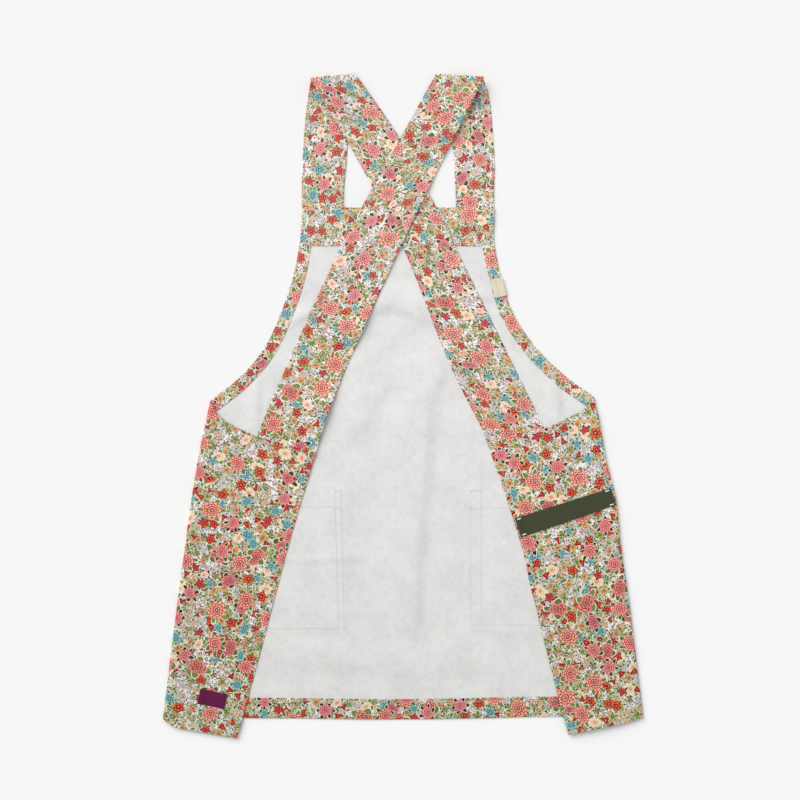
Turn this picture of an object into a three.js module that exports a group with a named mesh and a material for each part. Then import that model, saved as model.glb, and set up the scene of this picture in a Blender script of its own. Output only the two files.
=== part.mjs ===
// A cross-back pinafore apron of printed cotton, laid flat with its back up. The front panel lies face down,
// the two back panels are folded over on to it, and the straps fold over at the shoulders and cross behind.
// Millimetres. +X is to the right of someone looking down at the back, +Y runs from the hem to the shoulders,
// and +Z is up from the surface that the apron lies on.

import * as THREE from "three";

const { lerp, smoothstep, degToRad } = THREE.MathUtils;

// Cloth
const CLOTH = 1.0;
const GAP = 0.3;
const LAYER = CLOTH + GAP;

// Heights of the middle of each layer above the surface
const FLOOR_LAYER = CLOTH / 2;
const FACING_LAYER = FLOOR_LAYER + LAYER;
const STRAP_LAYER = FACING_LAYER + LAYER;
const CROSSING_LAYER = STRAP_LAYER + LAYER;

// Soft folds: the rolled side fold, how far its loft reaches in, and the shoulder fold at its two ends
const SIDE_ROLL = 2.3;
const SIDE_LOFT_REACH = 45;
const SHOULDER_ROLL_INNER = 2.0;
const SHOULDER_ROLL_OUTER = 3.2;
const SHOULDER_LOFT_REACH = 0.28;

// Bib, facings and hem
const BIB_TOP = 269;
const BIB_LEFT = -136;
const BIB_RIGHT = 124;
const BIB_FACING_DEPTH = 52;
const ARMHOLE_FACING_WIDTH = 16;
const ARMHOLE_FACING_END = 3;
const HEM_DEPTH = 27;
const HEM_END = 6;
const STRAP_TUCK = 20;

// Outlines seen from above, each edge a smooth curve through a few points
const LEFT = {
  name: "left",
  side: -1,
  armhole: [[BIB_LEFT, BIB_TOP], [-139, 232], [-148, 180], [-163, 133], [-189, 77], [-223, 37], [-262, 6]],
  fold: [[-262, 6], [-279, -76], [-304, -250], [-326, -425]],
  inner: [[-118.6, -64], [-153, -181], [-201, -362], [-226, -451.5]],
  top: [[-262, 6], [-233, -26], [-199, -41.5], [-118.6, -64]],
  bottom: [[-326, -425], [-313, -435], [-271, -443.5], [-226, -451.5]],
};
const RIGHT = {
  name: "right",
  side: 1,
  armhole: [[BIB_RIGHT, BIB_TOP], [124, 220], [134, 173], [147, 133], [178, 85], [220, 41], [259, 12]],
  fold: [[259, 12], [278, -66], [303, -220], [326, -422]],
  inner: [[108, -32], [141, -117], [171, -240], [224, -447]],
  top: [[259, 12], [230, -14], [191.5, -31], [108, -32]],
  bottom: [[326, -422], [308, -429], [272, -437], [224, -447]],
};

// Straps: each edge from the tucked end to the shoulder fold, then from that fold to the seam on a back panel
const LEFT_STRAP = {
  name: "strap_left",
  legOuter: [[-135, BIB_TOP - STRAP_TUCK], [-137, 289], [-136, 335], [-130.6, 407], [-125, 444]],
  legInner: [[-82, BIB_TOP - STRAP_TUCK], [-81, 293], [-78, 324], [-74, 375], [-65, 451]],
  backOuter: [[-125, 444], [-75.6, 360], [-1, 218], [65, 54], [107.6, -31.6]],
  backInner: [[-65, 451], [-4, 361.6], [70, 217], [160, 33], [191.2, -30.6]],
  crossing: STRAP_LAYER,
};
const RIGHT_STRAP = {
  name: "strap_right",
  legOuter: [[122.5, BIB_TOP - STRAP_TUCK], [123, 290], [124, 324], [121, 379], [111.5, 443]],
  legInner: [[73, BIB_TOP - STRAP_TUCK], [72, 290], [70, 324], [65, 375], [45, 451]],
  backOuter: [[111.5, 443], [79, 383], [32.6, 291], [-34, 149], [-101, -7], [-118.4, -63.4]],
  backInner: [[45, 451], [-4, 361.6], [-83, 217], [-154, 62], [-198.8, -41]],
  crossing: CROSSING_LAYER,
};
const CROSSING_START = 205;
const CROSSING_END = 110;
const LEG_LEAVES_BIB = 6;
const LEG_REACHES_FLOOR = 50;

// Patch pockets on the hidden face, under the front panel
const POCKET_WIDTH = 164;
const POCKET_DEPTH = 187;
const POCKET_CORNER = 12;
const POCKET_TOP = -115;
const POCKETS = [
  { name: "pocket_left", innerEdge: -80, outward: -1 },
  { name: "pocket_right", innerEdge: 91, outward: 1 },
];
const DRAPE_MARGIN = 4;
const DRAPE_REACH = 24;
const TUCK_DRAPE_MARGIN = 3;
const TUCK_DRAPE_REACH = 12;

// Soft creases that stand up from the front panel: their two ends, height and half width
const CREASES = [
  { x0: 30, y0: -40, x1: 26, y1: -300, height: 1.1, reach: 34 },
  { x0: -70, y0: 130, x1: 30, y1: -10, height: 1.0, reach: 40 },
  { x0: -140, y0: -345, x1: 120, y1: -352, height: 0.9, reach: 34 },
];

// Trim: middle, length, width and turn in degrees
const TOWEL_LOOP = { x: 221.2, y: -146.2, length: 133, width: 25.5, turn: 17.8 };
const WOVEN_LABEL = { x: -259, y: -398.5, length: 37, width: 20, turn: -12 };
const SIDE_TAB = { x: 130.9, y: 160, length: 16, width: 25, turn: 13 };

// Mesh steps
const BODY_COLUMNS = 28;
const ARMHOLE_ROWS = 12;
const FOLD_ROWS = 20;
const BACK_COLUMNS = 9;
const ROLL_STEPS = 6;
const LEG_STEPS = 10;
const BACK_STRAP_STEPS = 22;
const STRAP_COLUMNS = 3;
const BIB_FACING_COLUMNS = 30;
const BIB_FACING_ROWS = 5;
const FACING_STEPS = 20;
const TRIM_STEPS = 10;

const cloth = (name, color, roughness) => (
  new THREE.MeshStandardMaterial({ name, color, roughness, metalness: 0 })
);
const PRINTED_COTTON = cloth("printed_cotton", 0xe9a69b, 0.85);
const OLIVE_TAPE = cloth("olive_tape", 0x464a34, 0.9);
const WOVEN_PURPLE = cloth("woven_label", 0x6a1769, 0.6);
const CREAM_TAPE = cloth("cream_tape", 0xe5ddc5, 0.9);

const group = new THREE.Group();

function add(name, geometry, material) {
  const mesh = new THREE.Mesh(geometry, material);
  mesh.name = name;
  group.add(mesh);
  return mesh;
}

// A smooth curve in plan through a few points
function edge(points) {
  return new THREE.CatmullRomCurve3(points.map(([x, y]) => new THREE.Vector3(x, y, 0)), false, "centripetal");
}

// Evenly spaced points along a smooth curve
function walk(points, steps) {
  return edge(points).getSpacedPoints(steps);
}

// A row of points from one place to another, with its heights from a function of the place
function across(from, to, columns, height) {
  return Array.from({ length: columns + 1 }, (_, j) => {
    const point = from.clone().lerp(to, j / columns);
    point.z = height(point.x, point.y);
    return point;
  });
}

// A closed wall of the cloth's thickness around a grid of points on its middle surface
function wall(rows) {
  const last = rows.length - 1;
  const end = rows[0].length - 1;
  const upper = [];
  const lower = [];
  const alongRows = new THREE.Vector3();
  const alongColumns = new THREE.Vector3();
  rows.forEach((row, i) => row.forEach((point, j) => {
    alongRows.subVectors(rows[Math.min(i + 1, last)][j], rows[Math.max(i - 1, 0)][j]);
    alongColumns.subVectors(row[Math.min(j + 1, end)], row[Math.max(j - 1, 0)]);
    const normal = new THREE.Vector3().crossVectors(alongRows, alongColumns).normalize();
    upper.push(point.clone().addScaledVector(normal, CLOTH / 2));
    lower.push(point.clone().addScaledVector(normal, -CLOTH / 2));
  }));
  const count = upper.length;
  const at = (i, j) => i * (end + 1) + j;
  const index = [];
  const quad = (a, b, c, d) => index.push(a, b, c, a, c, d);
  for (let i = 0; i < last; i++) {
    for (let j = 0; j < end; j++) {
      const corners = [at(i, j), at(i + 1, j), at(i + 1, j + 1), at(i, j + 1)];
      quad(...corners);
      quad(...corners.map((k) => k + count).reverse());
    }
  }
  const rim = [];
  for (let i = 0; i < last; i++) rim.push([at(i, 0), at(i + 1, 0)], [at(i + 1, end), at(i, end)]);
  for (let j = 0; j < end; j++) rim.push([at(last, j), at(last, j + 1)], [at(0, j + 1), at(0, j)]);
  rim.forEach(([a, b]) => quad(b, a, a + count, b + count));
  const geometry = new THREE.BufferGeometry().setFromPoints([...upper, ...lower]);
  geometry.setIndex(index);
  geometry.computeVertexNormals();
  return geometry;
}

// One inside a rectangle grown by a margin, fading to nothing over a further reach
function drape(x, y, box, margin, reach) {
  const beyondSide = Math.max(box.left - x, x - box.right);
  const beyondEnd = Math.max(box.bottom - y, y - box.top);
  const fade = (beyond) => 1 - smoothstep(beyond, margin, margin + reach);
  return fade(beyondSide) * fade(beyondEnd);
}

// How high one soft crease stands at a place
function creaseHeight(x, y, { x0, y0, x1, y1, height, reach }) {
  const spine = new THREE.Line3(new THREE.Vector3(x0, y0, 0), new THREE.Vector3(x1, y1, 0));
  const here = new THREE.Vector3(x, y, 0);
  const distance = spine.closestPointToPoint(here, true, new THREE.Vector3()).distanceTo(here);
  return height * (1 - smoothstep(distance, 0, reach));
}

// The front panel lies on the surface, lifted by the pockets under it and by its own soft creases
function frontHeight(x, y) {
  const overPockets = POCKETS.map(({ innerEdge, outward }) => {
    const outerEdge = innerEdge + outward * POCKET_WIDTH;
    const box = {
      left: Math.min(innerEdge, outerEdge),
      right: Math.max(innerEdge, outerEdge),
      bottom: POCKET_TOP - POCKET_DEPTH,
      top: POCKET_TOP,
    };
    return LAYER * drape(x, y, box, DRAPE_MARGIN, DRAPE_REACH);
  });
  const creases = CREASES.map((crease) => creaseHeight(x, y, crease));
  return FLOOR_LAYER + Math.max(...overPockets, ...creases);
}

// The bib facing rises over the two strap ends that are tucked under it
function bibFacingHeight(x, y) {
  const overTucks = [LEFT_STRAP, RIGHT_STRAP].map(({ legOuter, legInner }) => {
    const box = {
      left: Math.min(legOuter[0][0], legInner[0][0]),
      right: Math.max(legOuter[0][0], legInner[0][0]),
      bottom: BIB_TOP - STRAP_TUCK,
      top: BIB_TOP,
    };
    return LAYER * drape(x, y, box, TUCK_DRAPE_MARGIN, TUCK_DRAPE_REACH);
  });
  return FACING_LAYER + Math.max(...overTucks);
}

// A back panel lies at the height of the straps and rises in a soft loft to its rolled side fold
function backHeight(outline) {
  const fold = walk(outline.fold, FOLD_ROWS);
  const crown = FLOOR_LAYER + 2 * SIDE_ROLL;
  return (x, y) => {
    const below = Math.max(1, fold.findIndex((point) => point.y <= y));
    const [a, b] = [fold[below - 1], fold[below]];
    const foldX = lerp(a.x, b.x, (a.y - y) / (a.y - b.y));
    const inward = outline.side * (foldX - x);
    return lerp(crown, STRAP_LAYER, smoothstep(inward, SIDE_ROLL, SIDE_LOFT_REACH));
  };
}

// The fold edge of the front panel stops just short of the rolled edge of the back panel
function frontSide(outline) {
  const inset = -outline.side * (SIDE_ROLL + 2 * GAP);
  const underarm = outline.armhole.length - 1;
  const armhole = outline.armhole.map(([x, y], k) => [k === underarm ? x + inset : x, y]);
  const fold = outline.fold.map(([x, y]) => [x + inset, y]);
  return [...walk(armhole, ARMHOLE_ROWS), ...walk(fold, FOLD_ROWS).slice(1)];
}

function addFrontPanel() {
  const left = frontSide(LEFT);
  const right = frontSide(RIGHT);
  const rows = left.map((from, i) => across(from, right[i], BODY_COLUMNS, frontHeight));
  add("front_panel", wall(rows), PRINTED_COTTON);
}

function addBibFacing() {
  const rows = Array.from({ length: BIB_FACING_ROWS + 1 }, (_, i) => {
    const y = BIB_TOP - (BIB_FACING_DEPTH * i) / BIB_FACING_ROWS;
    const from = new THREE.Vector3(BIB_LEFT, y, 0);
    const to = new THREE.Vector3(BIB_RIGHT, y, 0);
    return across(from, to, BIB_FACING_COLUMNS, bibFacingHeight);
  });
  add("bib_facing", wall(rows), PRINTED_COTTON);
}

// A strip along the armhole, from under the bib facing to just short of the underarm
function addArmholeFacing(outline) {
  const curve = edge(outline.armhole);
  const length = curve.getLength();
  const start = (BIB_FACING_DEPTH + GAP) / length;
  const stop = 1 - ARMHOLE_FACING_END / length;
  const rows = Array.from({ length: FACING_STEPS + 1 }, (_, i) => {
    const t = lerp(start, stop, i / FACING_STEPS);
    const outer = curve.getPointAt(t);
    const along = curve.getTangentAt(t);
    const inward = new THREE.Vector3(outline.side * along.y, -outline.side * along.x, 0);
    const inner = outer.clone().addScaledVector(inward, ARMHOLE_FACING_WIDTH);
    if (i === 0) inner.y = outer.y;
    return across(outer, inner, 1, () => FACING_LAYER);
  });
  add(`armhole_facing_${outline.name}`, wall(rows), PRINTED_COTTON);
}

function addHemBand() {
  const [leftX, leftY] = LEFT.fold.at(-1);
  const [rightX, rightY] = RIGHT.fold.at(-1);
  const rows = [HEM_DEPTH, 0].map((rise) => {
    const from = new THREE.Vector3(leftX + HEM_END, leftY + rise, 0);
    const to = new THREE.Vector3(rightX - HEM_END, rightY + rise, 0);
    return across(from, to, FACING_STEPS, () => FACING_LAYER);
  });
  add("hem_band", wall(rows), PRINTED_COTTON);
}

// A patch stretched between four edges, from its fold to its free edge and from its top to its hem
function addBackPanel(outline) {
  const fold = walk(outline.fold, FOLD_ROWS);
  const inner = walk(outline.inner, FOLD_ROWS);
  const top = edge(outline.top);
  const bottom = edge(outline.bottom);
  const height = backHeight(outline);
  const straight = (a, b, u) => a.clone().lerp(b, u);
  const place = (u, i) => {
    const v = i / FOLD_ROWS;
    const overTop = top.getPointAt(u).sub(straight(fold[0], inner[0], u));
    const overBottom = bottom.getPointAt(u).sub(straight(fold[FOLD_ROWS], inner[FOLD_ROWS], u));
    return straight(fold[i], inner[i], u).addScaledVector(overTop, 1 - v).addScaledVector(overBottom, v);
  };
  const rows = fold.map((crest, i) => {
    const inward = place(1 / BACK_COLUMNS, i).sub(crest).normalize();
    const roll = Array.from({ length: ROLL_STEPS }, (_, k) => {
      const angle = (Math.PI * k) / ROLL_STEPS;
      const point = crest.clone().addScaledVector(inward, SIDE_ROLL * (1 - Math.sin(angle)));
      return point.setZ(FLOOR_LAYER + SIDE_ROLL * (1 - Math.cos(angle)));
    });
    const flat = Array.from({ length: BACK_COLUMNS + 1 }, (_, j) => {
      const point = j === 0 ? crest.clone().addScaledVector(inward, SIDE_ROLL) : place(j / BACK_COLUMNS, i);
      return point.setZ(j === 0 ? FLOOR_LAYER + 2 * SIDE_ROLL : height(point.x, point.y));
    });
    return [...roll, ...flat];
  });
  add(`back_panel_${outline.name}`, wall(rows), PRINTED_COTTON);
}

// A strap: a leg up from under the bib facing, a rolled fold at the shoulder and a diagonal down the back
function addStrap(strap) {
  const foldOuter = new THREE.Vector3(...strap.legOuter.at(-1), 0);
  const foldInner = new THREE.Vector3(...strap.legInner.at(-1), 0);
  const foldLine = foldInner.clone().sub(foldOuter).normalize();
  const beyond = new THREE.Vector3(-foldLine.y, foldLine.x, 0);
  if (beyond.y < 0) beyond.negate();
  const setBack = (points, at, roll) => points.map(([x, y], k) => (
    k === at ? [x - beyond.x * roll, y - beyond.y * roll] : [x, y]
  ));
  const lastLeg = strap.legOuter.length - 1;
  const lastInnerLeg = strap.legInner.length - 1;
  const legOuter = walk(setBack(strap.legOuter, lastLeg, SHOULDER_ROLL_OUTER), LEG_STEPS);
  const legInner = walk(setBack(strap.legInner, lastInnerLeg, SHOULDER_ROLL_INNER), LEG_STEPS);
  const backOuter = walk(setBack(strap.backOuter, 0, SHOULDER_ROLL_OUTER), BACK_STRAP_STEPS);
  const backInner = walk(setBack(strap.backInner, 0, SHOULDER_ROLL_INNER), BACK_STRAP_STEPS);

  const legHeight = (x, y) => {
    const down = smoothstep(y, BIB_TOP + LEG_LEAVES_BIB, BIB_TOP + LEG_REACHES_FLOOR);
    return lerp(FACING_LAYER, FLOOR_LAYER, down);
  };
  const leg = legOuter.map((outer, i) => across(outer, legInner[i], STRAP_COLUMNS, legHeight));
  const rollAt = (j) => lerp(SHOULDER_ROLL_OUTER, SHOULDER_ROLL_INNER, j / STRAP_COLUMNS);
  const roll = Array.from({ length: ROLL_STEPS - 1 }, (_, k) => {
    const angle = (Math.PI * (k + 1)) / ROLL_STEPS;
    return leg[LEG_STEPS].map((start, j) => {
      const point = start.clone().addScaledVector(beyond, rollAt(j) * Math.sin(angle));
      return point.setZ(FLOOR_LAYER + rollAt(j) * (1 - Math.cos(angle)));
    });
  });
  const backLayer = (y) => lerp(STRAP_LAYER, strap.crossing, smoothstep(y, CROSSING_END, CROSSING_START));
  const back = backOuter.map((outer, i) => {
    const settled = smoothstep(i / BACK_STRAP_STEPS, 0, SHOULDER_LOFT_REACH);
    const row = across(outer, backInner[i], STRAP_COLUMNS, (x, y) => backLayer(y));
    row.forEach((point, j) => point.setZ(lerp(FLOOR_LAYER + 2 * rollAt(j), point.z, settled)));
    return row;
  });
  add(strap.name, wall([...leg, ...roll, ...back]), PRINTED_COTTON);
}

// A plain patch with round lower corners, lying on the surface
function addPocket({ name, innerEdge, outward }) {
  const left = Math.min(innerEdge, innerEdge + outward * POCKET_WIDTH);
  const right = left + POCKET_WIDTH;
  const bottom = POCKET_TOP - POCKET_DEPTH;
  const patch = new THREE.Shape();
  patch.moveTo(left, POCKET_TOP);
  patch.lineTo(left, bottom + POCKET_CORNER);
  patch.quadraticCurveTo(left, bottom, left + POCKET_CORNER, bottom);
  patch.lineTo(right - POCKET_CORNER, bottom);
  patch.quadraticCurveTo(right, bottom, right, bottom + POCKET_CORNER);
  patch.lineTo(right, POCKET_TOP);
  patch.closePath();
  const geometry = new THREE.ExtrudeGeometry(patch, { depth: CLOTH, bevelEnabled: false, curveSegments: 4 });
  add(name, geometry, PRINTED_COTTON);
}

// A turned rectangle of tape or label that follows the cloth under it
function addTrim(name, { x, y, length, width, turn }, heightUnder, material) {
  const middle = new THREE.Vector3(x, y, 0);
  const axis = new THREE.Vector3(0, 0, 1);
  const angle = degToRad(turn);
  const corner = (along, up) => new THREE.Vector3(along * length, up * width, 0).applyAxisAngle(axis, angle);
  const rows = [0.5, -0.5].map((up) => {
    const from = corner(-0.5, up).add(middle);
    const to = corner(0.5, up).add(middle);
    return across(from, to, TRIM_STEPS, (px, py) => heightUnder(px, py) + LAYER);
  });
  add(name, wall(rows), material);
}

addFrontPanel();
addBibFacing();
addHemBand();
[LEFT, RIGHT].forEach(addArmholeFacing);
[LEFT, RIGHT].forEach(addBackPanel);
[LEFT_STRAP, RIGHT_STRAP].forEach(addStrap);
POCKETS.forEach(addPocket);
addTrim("towel_loop", TOWEL_LOOP, backHeight(RIGHT), OLIVE_TAPE);
addTrim("woven_label", WOVEN_LABEL, backHeight(LEFT), WOVEN_PURPLE);
addTrim("side_tab", SIDE_TAB, () => FACING_LAYER, CREAM_TAPE);

export default group;
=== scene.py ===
# A cross-back pinafore apron of printed cotton lawn, laid flat with its back up and seen from straight
# above. The shapes are worked out in millimetres, in the frame of the solids, and become metres in the
# meshes.

import math

import bpy
import numpy as np
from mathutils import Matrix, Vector
from mathutils.bvhtree import BVHTree


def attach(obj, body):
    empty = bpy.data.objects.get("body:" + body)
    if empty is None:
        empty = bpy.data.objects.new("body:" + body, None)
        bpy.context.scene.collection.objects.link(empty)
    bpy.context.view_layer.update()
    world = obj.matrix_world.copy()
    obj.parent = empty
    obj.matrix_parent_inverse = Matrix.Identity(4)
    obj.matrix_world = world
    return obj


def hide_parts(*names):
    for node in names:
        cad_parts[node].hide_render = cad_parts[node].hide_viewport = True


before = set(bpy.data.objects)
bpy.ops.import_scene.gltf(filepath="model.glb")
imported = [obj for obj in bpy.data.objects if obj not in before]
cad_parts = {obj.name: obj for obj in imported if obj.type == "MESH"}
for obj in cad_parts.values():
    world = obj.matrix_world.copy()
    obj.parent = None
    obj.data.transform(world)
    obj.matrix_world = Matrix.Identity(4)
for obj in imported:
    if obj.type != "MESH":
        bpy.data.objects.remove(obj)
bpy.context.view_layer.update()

MM = 0.001
TURN = 2 * math.pi

# Cloth thicknesses, and the air between layers that lie on each other
LAWN = 0.5
STRAP_CLOTH = 1.1
TAPE_CLOTH = 0.9
AIR = 0.18
PANEL_AIR = 0.1
LAYER = LAWN + AIR

# The middle of a cloth that lies on the floor, and how far the right strap rises over the left one
FLOOR_LAYER = LAWN / 2
CROSSING_RISE = STRAP_CLOTH + 2 * AIR

# A cloth that reaches past the edge of another one comes down from it between these distances
STEP_NEAR = 2
STEP_FAR = 14

# Soft random waves in the cloth: their middle height and their length in mm, and the seed of the draws
RIPPLES = {
    "front": {"height": 0.22, "length": 110, "seed": 3},
    "facing": {"height": 0.08, "length": 18, "seed": 5},
    "free_edge": {"height": 1.0, "length": 90, "seed": 11},
    "panel": {"height": 0.2, "length": 60, "seed": 13},
    "turning": {"height": 0.12, "length": 14, "seed": 17},
    "leg": {"height": 0.2, "length": 30, "seed": 19},
    "diagonal": {"height": 0.22, "length": 22, "seed": 23},
}

# Bib, facings and hem. The bib facing's ends lie along the first share of each armhole, BESIDE_FACING.
BIB_TOP = 269
BIB_LEFT = -136
BIB_RIGHT = 124
BIB_FACING_DEPTH = 52
BESIDE_FACING = 0.4
ARMHOLE_FACING_WIDTH = 16
ARMHOLE_FACING_END = 1
ARMHOLE_FACING_SLANT = 6
ARMHOLE_FACING_SLANT_REACH = 30
HEM_DEPTH = 27
HEM_END = 6
HEM_TOP = -425 + HEM_DEPTH
HEM_SAG = 2.8
HEM_SAG_REACH = 230
HEM_SAG_TOP = -300
STRAP_TUCK = 20

# The rolled side folds: radius, how far the front stops short of them, how far their loft reaches in,
# and the steps round them
SIDE_ROLL = 2.1
SIDE_CLEAR = 0.6
SIDE_LOFT_REACH = 45
SIDE_ROLL_STEPS = 11

# Rough sizes in mm, which space out the meshes and turn shares of an edge into distances
ARMHOLE_LENGTH = 300
FRONT_WIDTH = 560
PANEL_LENGTH = 440
PANEL_WIDTH = 150
STRAP_WIDTH = 64
LEG_LENGTH = 200
DIAGONAL_LENGTH = 500

# Points that trace a long edge, and a short or straight one
EDGE_POINTS = 200
SHORT_EDGE_POINTS = 80

# Outlines of the two halves as they lie, each edge a smooth curve through a few points.
# Loose is how far the free edge of the back panel lifts off the front, and bottom_lift how far its bottom,
# below the hem of the front, stands off the floor.
LEFT = {
    "name": "left",
    "side": -1,
    "loose": 0.0,
    "bottom_lift": 2.2,
    "armhole": [(BIB_LEFT, BIB_TOP), (-139, 232), (-148, 180), (-163, 133),
                (-189, 77), (-223, 37), (-262, 6)],
    "fold": [(-262, 6), (-279, -76), (-304, -250), (-326, -425)],
    "inner": [(-118.6, -64), (-153, -181), (-201, -362), (-226, -451.5)],
    "top": [(-262, 6), (-251.5, -12), (-233, -26), (-199, -41.5), (-118.6, -64)],
    "bottom": [(-326, -425), (-313, -435), (-271, -443.5), (-226, -451.5)],
}
RIGHT = {
    "name": "right",
    "side": 1,
    "loose": 0.4,
    "bottom_lift": 3.4,
    "armhole": [(BIB_RIGHT, BIB_TOP), (124, 220), (134, 173), (146, 133),
                (175.5, 85), (219, 41), (259, 12)],
    "fold": [(259, 12), (267, -22), (276, -74), (289.5, -128), (295, -183), (306.5, -264), (326, -422)],
    "inner": [(107.6, -32), (128, -90), (146, -143), (165, -206), (173, -245), (224, -447)],
    "top": [(259, 12), (246, -5.5), (230, -14), (191.5, -31), (108, -32)],
    "bottom": [(326, -422), (308, -429), (272, -437), (224, -447)],
}

# The top edge of a back panel rises over the end of the strap sewn under it. The rise is gone at a reach
# below the edge, and begins some way in from the side fold.
SEAM_RISE = 1.1
SEAM_NEAR = 2
SEAM_REACH = 14
SEAM_FROM_FOLD = (40, 70)

# A loose panel lifts from a share of its width to its free edge, and from a share of its length downwards
FREE_FROM = 0.45
LOOSE_FROM = (0.05, 0.3)

# Between these distances below the middle of the frame, the bottom of a panel comes off the floor
BOTTOM_LIFTS = (385, 445)

# Turned hems of the back panels: widths at the free edge and the bottom, the step beside them, and
# their rise
TURNED_EDGE = 7
TURNED_BOTTOM = 8
TURNED_STEP = 2
TURNED_RISE = 0.13

# The free corner under the right strap's seam stands off the front
LIFTED_CORNER = {"x": -118.6, "y": -64, "height": 1.8, "reach": 85}

# Straps: edges from the tucked end to the shoulder fold, then from that fold to the seam on a back panel.
# At the outer and inner ends of the shoulder fold, the leg has risen by the rise, over its last rise_reach
# mm, and the fold has the radius of the roll. Settles is the share of the diagonal over which those edges
# come down again. Lifts are swells of the diagonal, highest at its outer edge: where, as a share of its
# length, how far either way, as a share too, and how high.
LEFT_STRAP = {
    "name": "strap_left",
    "leg_outer": [(-135, BIB_TOP - STRAP_TUCK), (-137, 289), (-136, 335), (-130.6, 407), (-125, 444)],
    "leg_inner": [(-82, BIB_TOP - STRAP_TUCK), (-81, 293), (-78, 324), (-74, 375), (-65, 451)],
    "back_outer": [(-125, 444), (-75.6, 360), (-1, 218), (65, 54), (109, -34.6)],
    "back_inner": [(-65, 451), (-4, 361.6), (70, 217), (160, 33), (192.8, -33.6)],
    "crossing": 0,
    "rise": (6.4, 0.4),
    "rise_reach": 24,
    "roll": (2.4, 1.3),
    "settles": (0.24, 0.14),
    "lifts": [{"at": 0.8, "reach": 0.12, "height": 0.8}],
}
RIGHT_STRAP = {
    "name": "strap_right",
    "leg_outer": [(122.5, BIB_TOP - STRAP_TUCK), (123, 290), (124, 324), (121, 379), (115.6, 424),
                  (109, 445)],
    "leg_inner": [(73, BIB_TOP - STRAP_TUCK), (72, 290), (70, 324), (65, 375), (45, 451)],
    "back_outer": [(109, 445), (78.5, 383), (32.6, 291), (-34, 149), (-101, -7), (-119.3, -66.3)],
    "back_inner": [(45, 451), (-4, 361.6), (-83, 217), (-154, 62), (-200, -43.8)],
    "crossing": CROSSING_RISE,
    "rise": (7.2, 0.4),
    "rise_reach": 27,
    "roll": (2.6, 1.3),
    "settles": (0.24, 0.14),
    "lifts": [
        {"at": 0.385, "reach": 0.09, "height": 1.6},
        {"at": 0.668, "reach": 0.08, "height": 5.0},
        {"at": 0.895, "reach": 0.1, "height": 5.5},
    ],
}

# The share of a swell that is left at the inner edge, and the steps round the shoulder fold
SWELL_INNER = 0.3
STRAP_ROLL_STEPS = 13

# The right strap comes down from the left one between these heights, and also sideways, between these
# distances past the left strap's inner edge
CROSSING_START = 205
CROSSING_END = 100
CROSSING_PAST = (4, 26)

# A strap leaves the bib and reaches the floor at these distances above the top of the bib
LEAVES_BIB = 6
REACHES_FLOOR = 50

# A diagonal's ripples grow over a reach below the crossing, and fade between these shares of its length
# from its sewn end
FREE_REACH = 70
SEWN_SHARES = (0.01, 0.08)

# Patch pockets on the hidden face: inner edge, and the way the pocket runs from it. The ease keeps the
# curve of a corner from running quite flat into the bottom.
POCKET_WIDTH = 164
POCKET_DEPTH = 187
POCKET_CORNER = 12
POCKET_CORNER_EASE = 0.995
POCKET_MESH_EDGE = (0, 0.6, 1.8, 3.5, 6, 9)
POCKET_TOP = -115
POCKETS = [
    {"name": "pocket_left", "inner": -80, "outward": -1},
    {"name": "pocket_right", "inner": 91, "outward": 1},
]

# Soft creases that stand up from the front: a line along the top, its height, and how far it slopes away to
# the left and to the right of the line. The height eases in from both ends.
CREASES = [
    {"line": [(66, 80), (40, 28), (29, -5), (28, -47), (25, -101), (19, -156), (15, -210), (14, -264),
              (11, -330)],
     "height": 2.8, "reach": (19, 70)},
    {"line": [(-62, 112), (-37, 134), (-14, 140), (10, 131), (34, 117), (52, 100)],
     "height": 3.4, "reach": (40, 16)},
    {"line": [(-104, -66), (-57, -17), (-43, 8), (4, 48)], "height": 1.5, "reach": (45, 20)},
    {"line": [(-158, 110), (-105, 138)], "height": 2.4, "reach": (20, 10)},
    {"line": [(-200, 44), (-200, -50)], "height": 2.2, "reach": (10, 25)},
    {"line": [(209, 60), (209, -40)], "height": 2.2, "reach": (10, 25)},
    {"line": [(80, 156), (142, 143)], "height": 1.8, "reach": (20, 10)},
    {"line": [(-215, -208), (-130, -210), (-40, -206)], "height": 1.9, "reach": (9, 8)},
    {"line": [(-170, -343), (150, -353)], "height": 1.3, "reach": (40, 26)},
    {"line": [(50, -30), (120, -260)], "height": 1.0, "reach": (26, 26)},
]
CREASE_EASE = 45

# Trim: middle, length, width and turn in degrees, and the share of the width that is lost from end to end
TOWEL_LOOP = {"x": 220.8, "y": -144.9, "length": 135.5, "width": 24.8, "turn": 18.3, "taper": 0.14}
WOVEN_LABEL = {"x": -259, "y": -398.5, "length": 37, "width": 20, "turn": -12, "taper": 0}
SIDE_TAB = {"x": 129.9, "y": 160, "length": 16, "width": 25, "turn": 14.5, "taper": 0}

# The ends of the trim are turned under: where the step begins and ends, from the end, and its rise.
# Between its ends the towel loop bows up.
TRIM_TURN_FROM = 7
TRIM_TURN_TO = 6
TRIM_TURN_RISE = 0.6
TOWEL_LOOP_BOW = 1.2


# Small helpers for shapes

def smooth(value, low, high):
    """Zero below low, one above high and an easy slope between."""
    t = np.clip((np.asarray(value, float) - low) / (high - low), 0, 1)
    return t * t * (3 - 2 * t)


def shares(length, step, edge=(0, 0.6, 1.8)):
    """Shares of a length about a step apart, and close together at both ends so that edges stay crisp."""
    near = np.array(edge) / length
    inside = near[-1] + step / length
    middle = np.linspace(inside, 1 - inside, max(2, round(length / step)))
    return np.concatenate([near, middle, 1 - near[::-1]])


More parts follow.
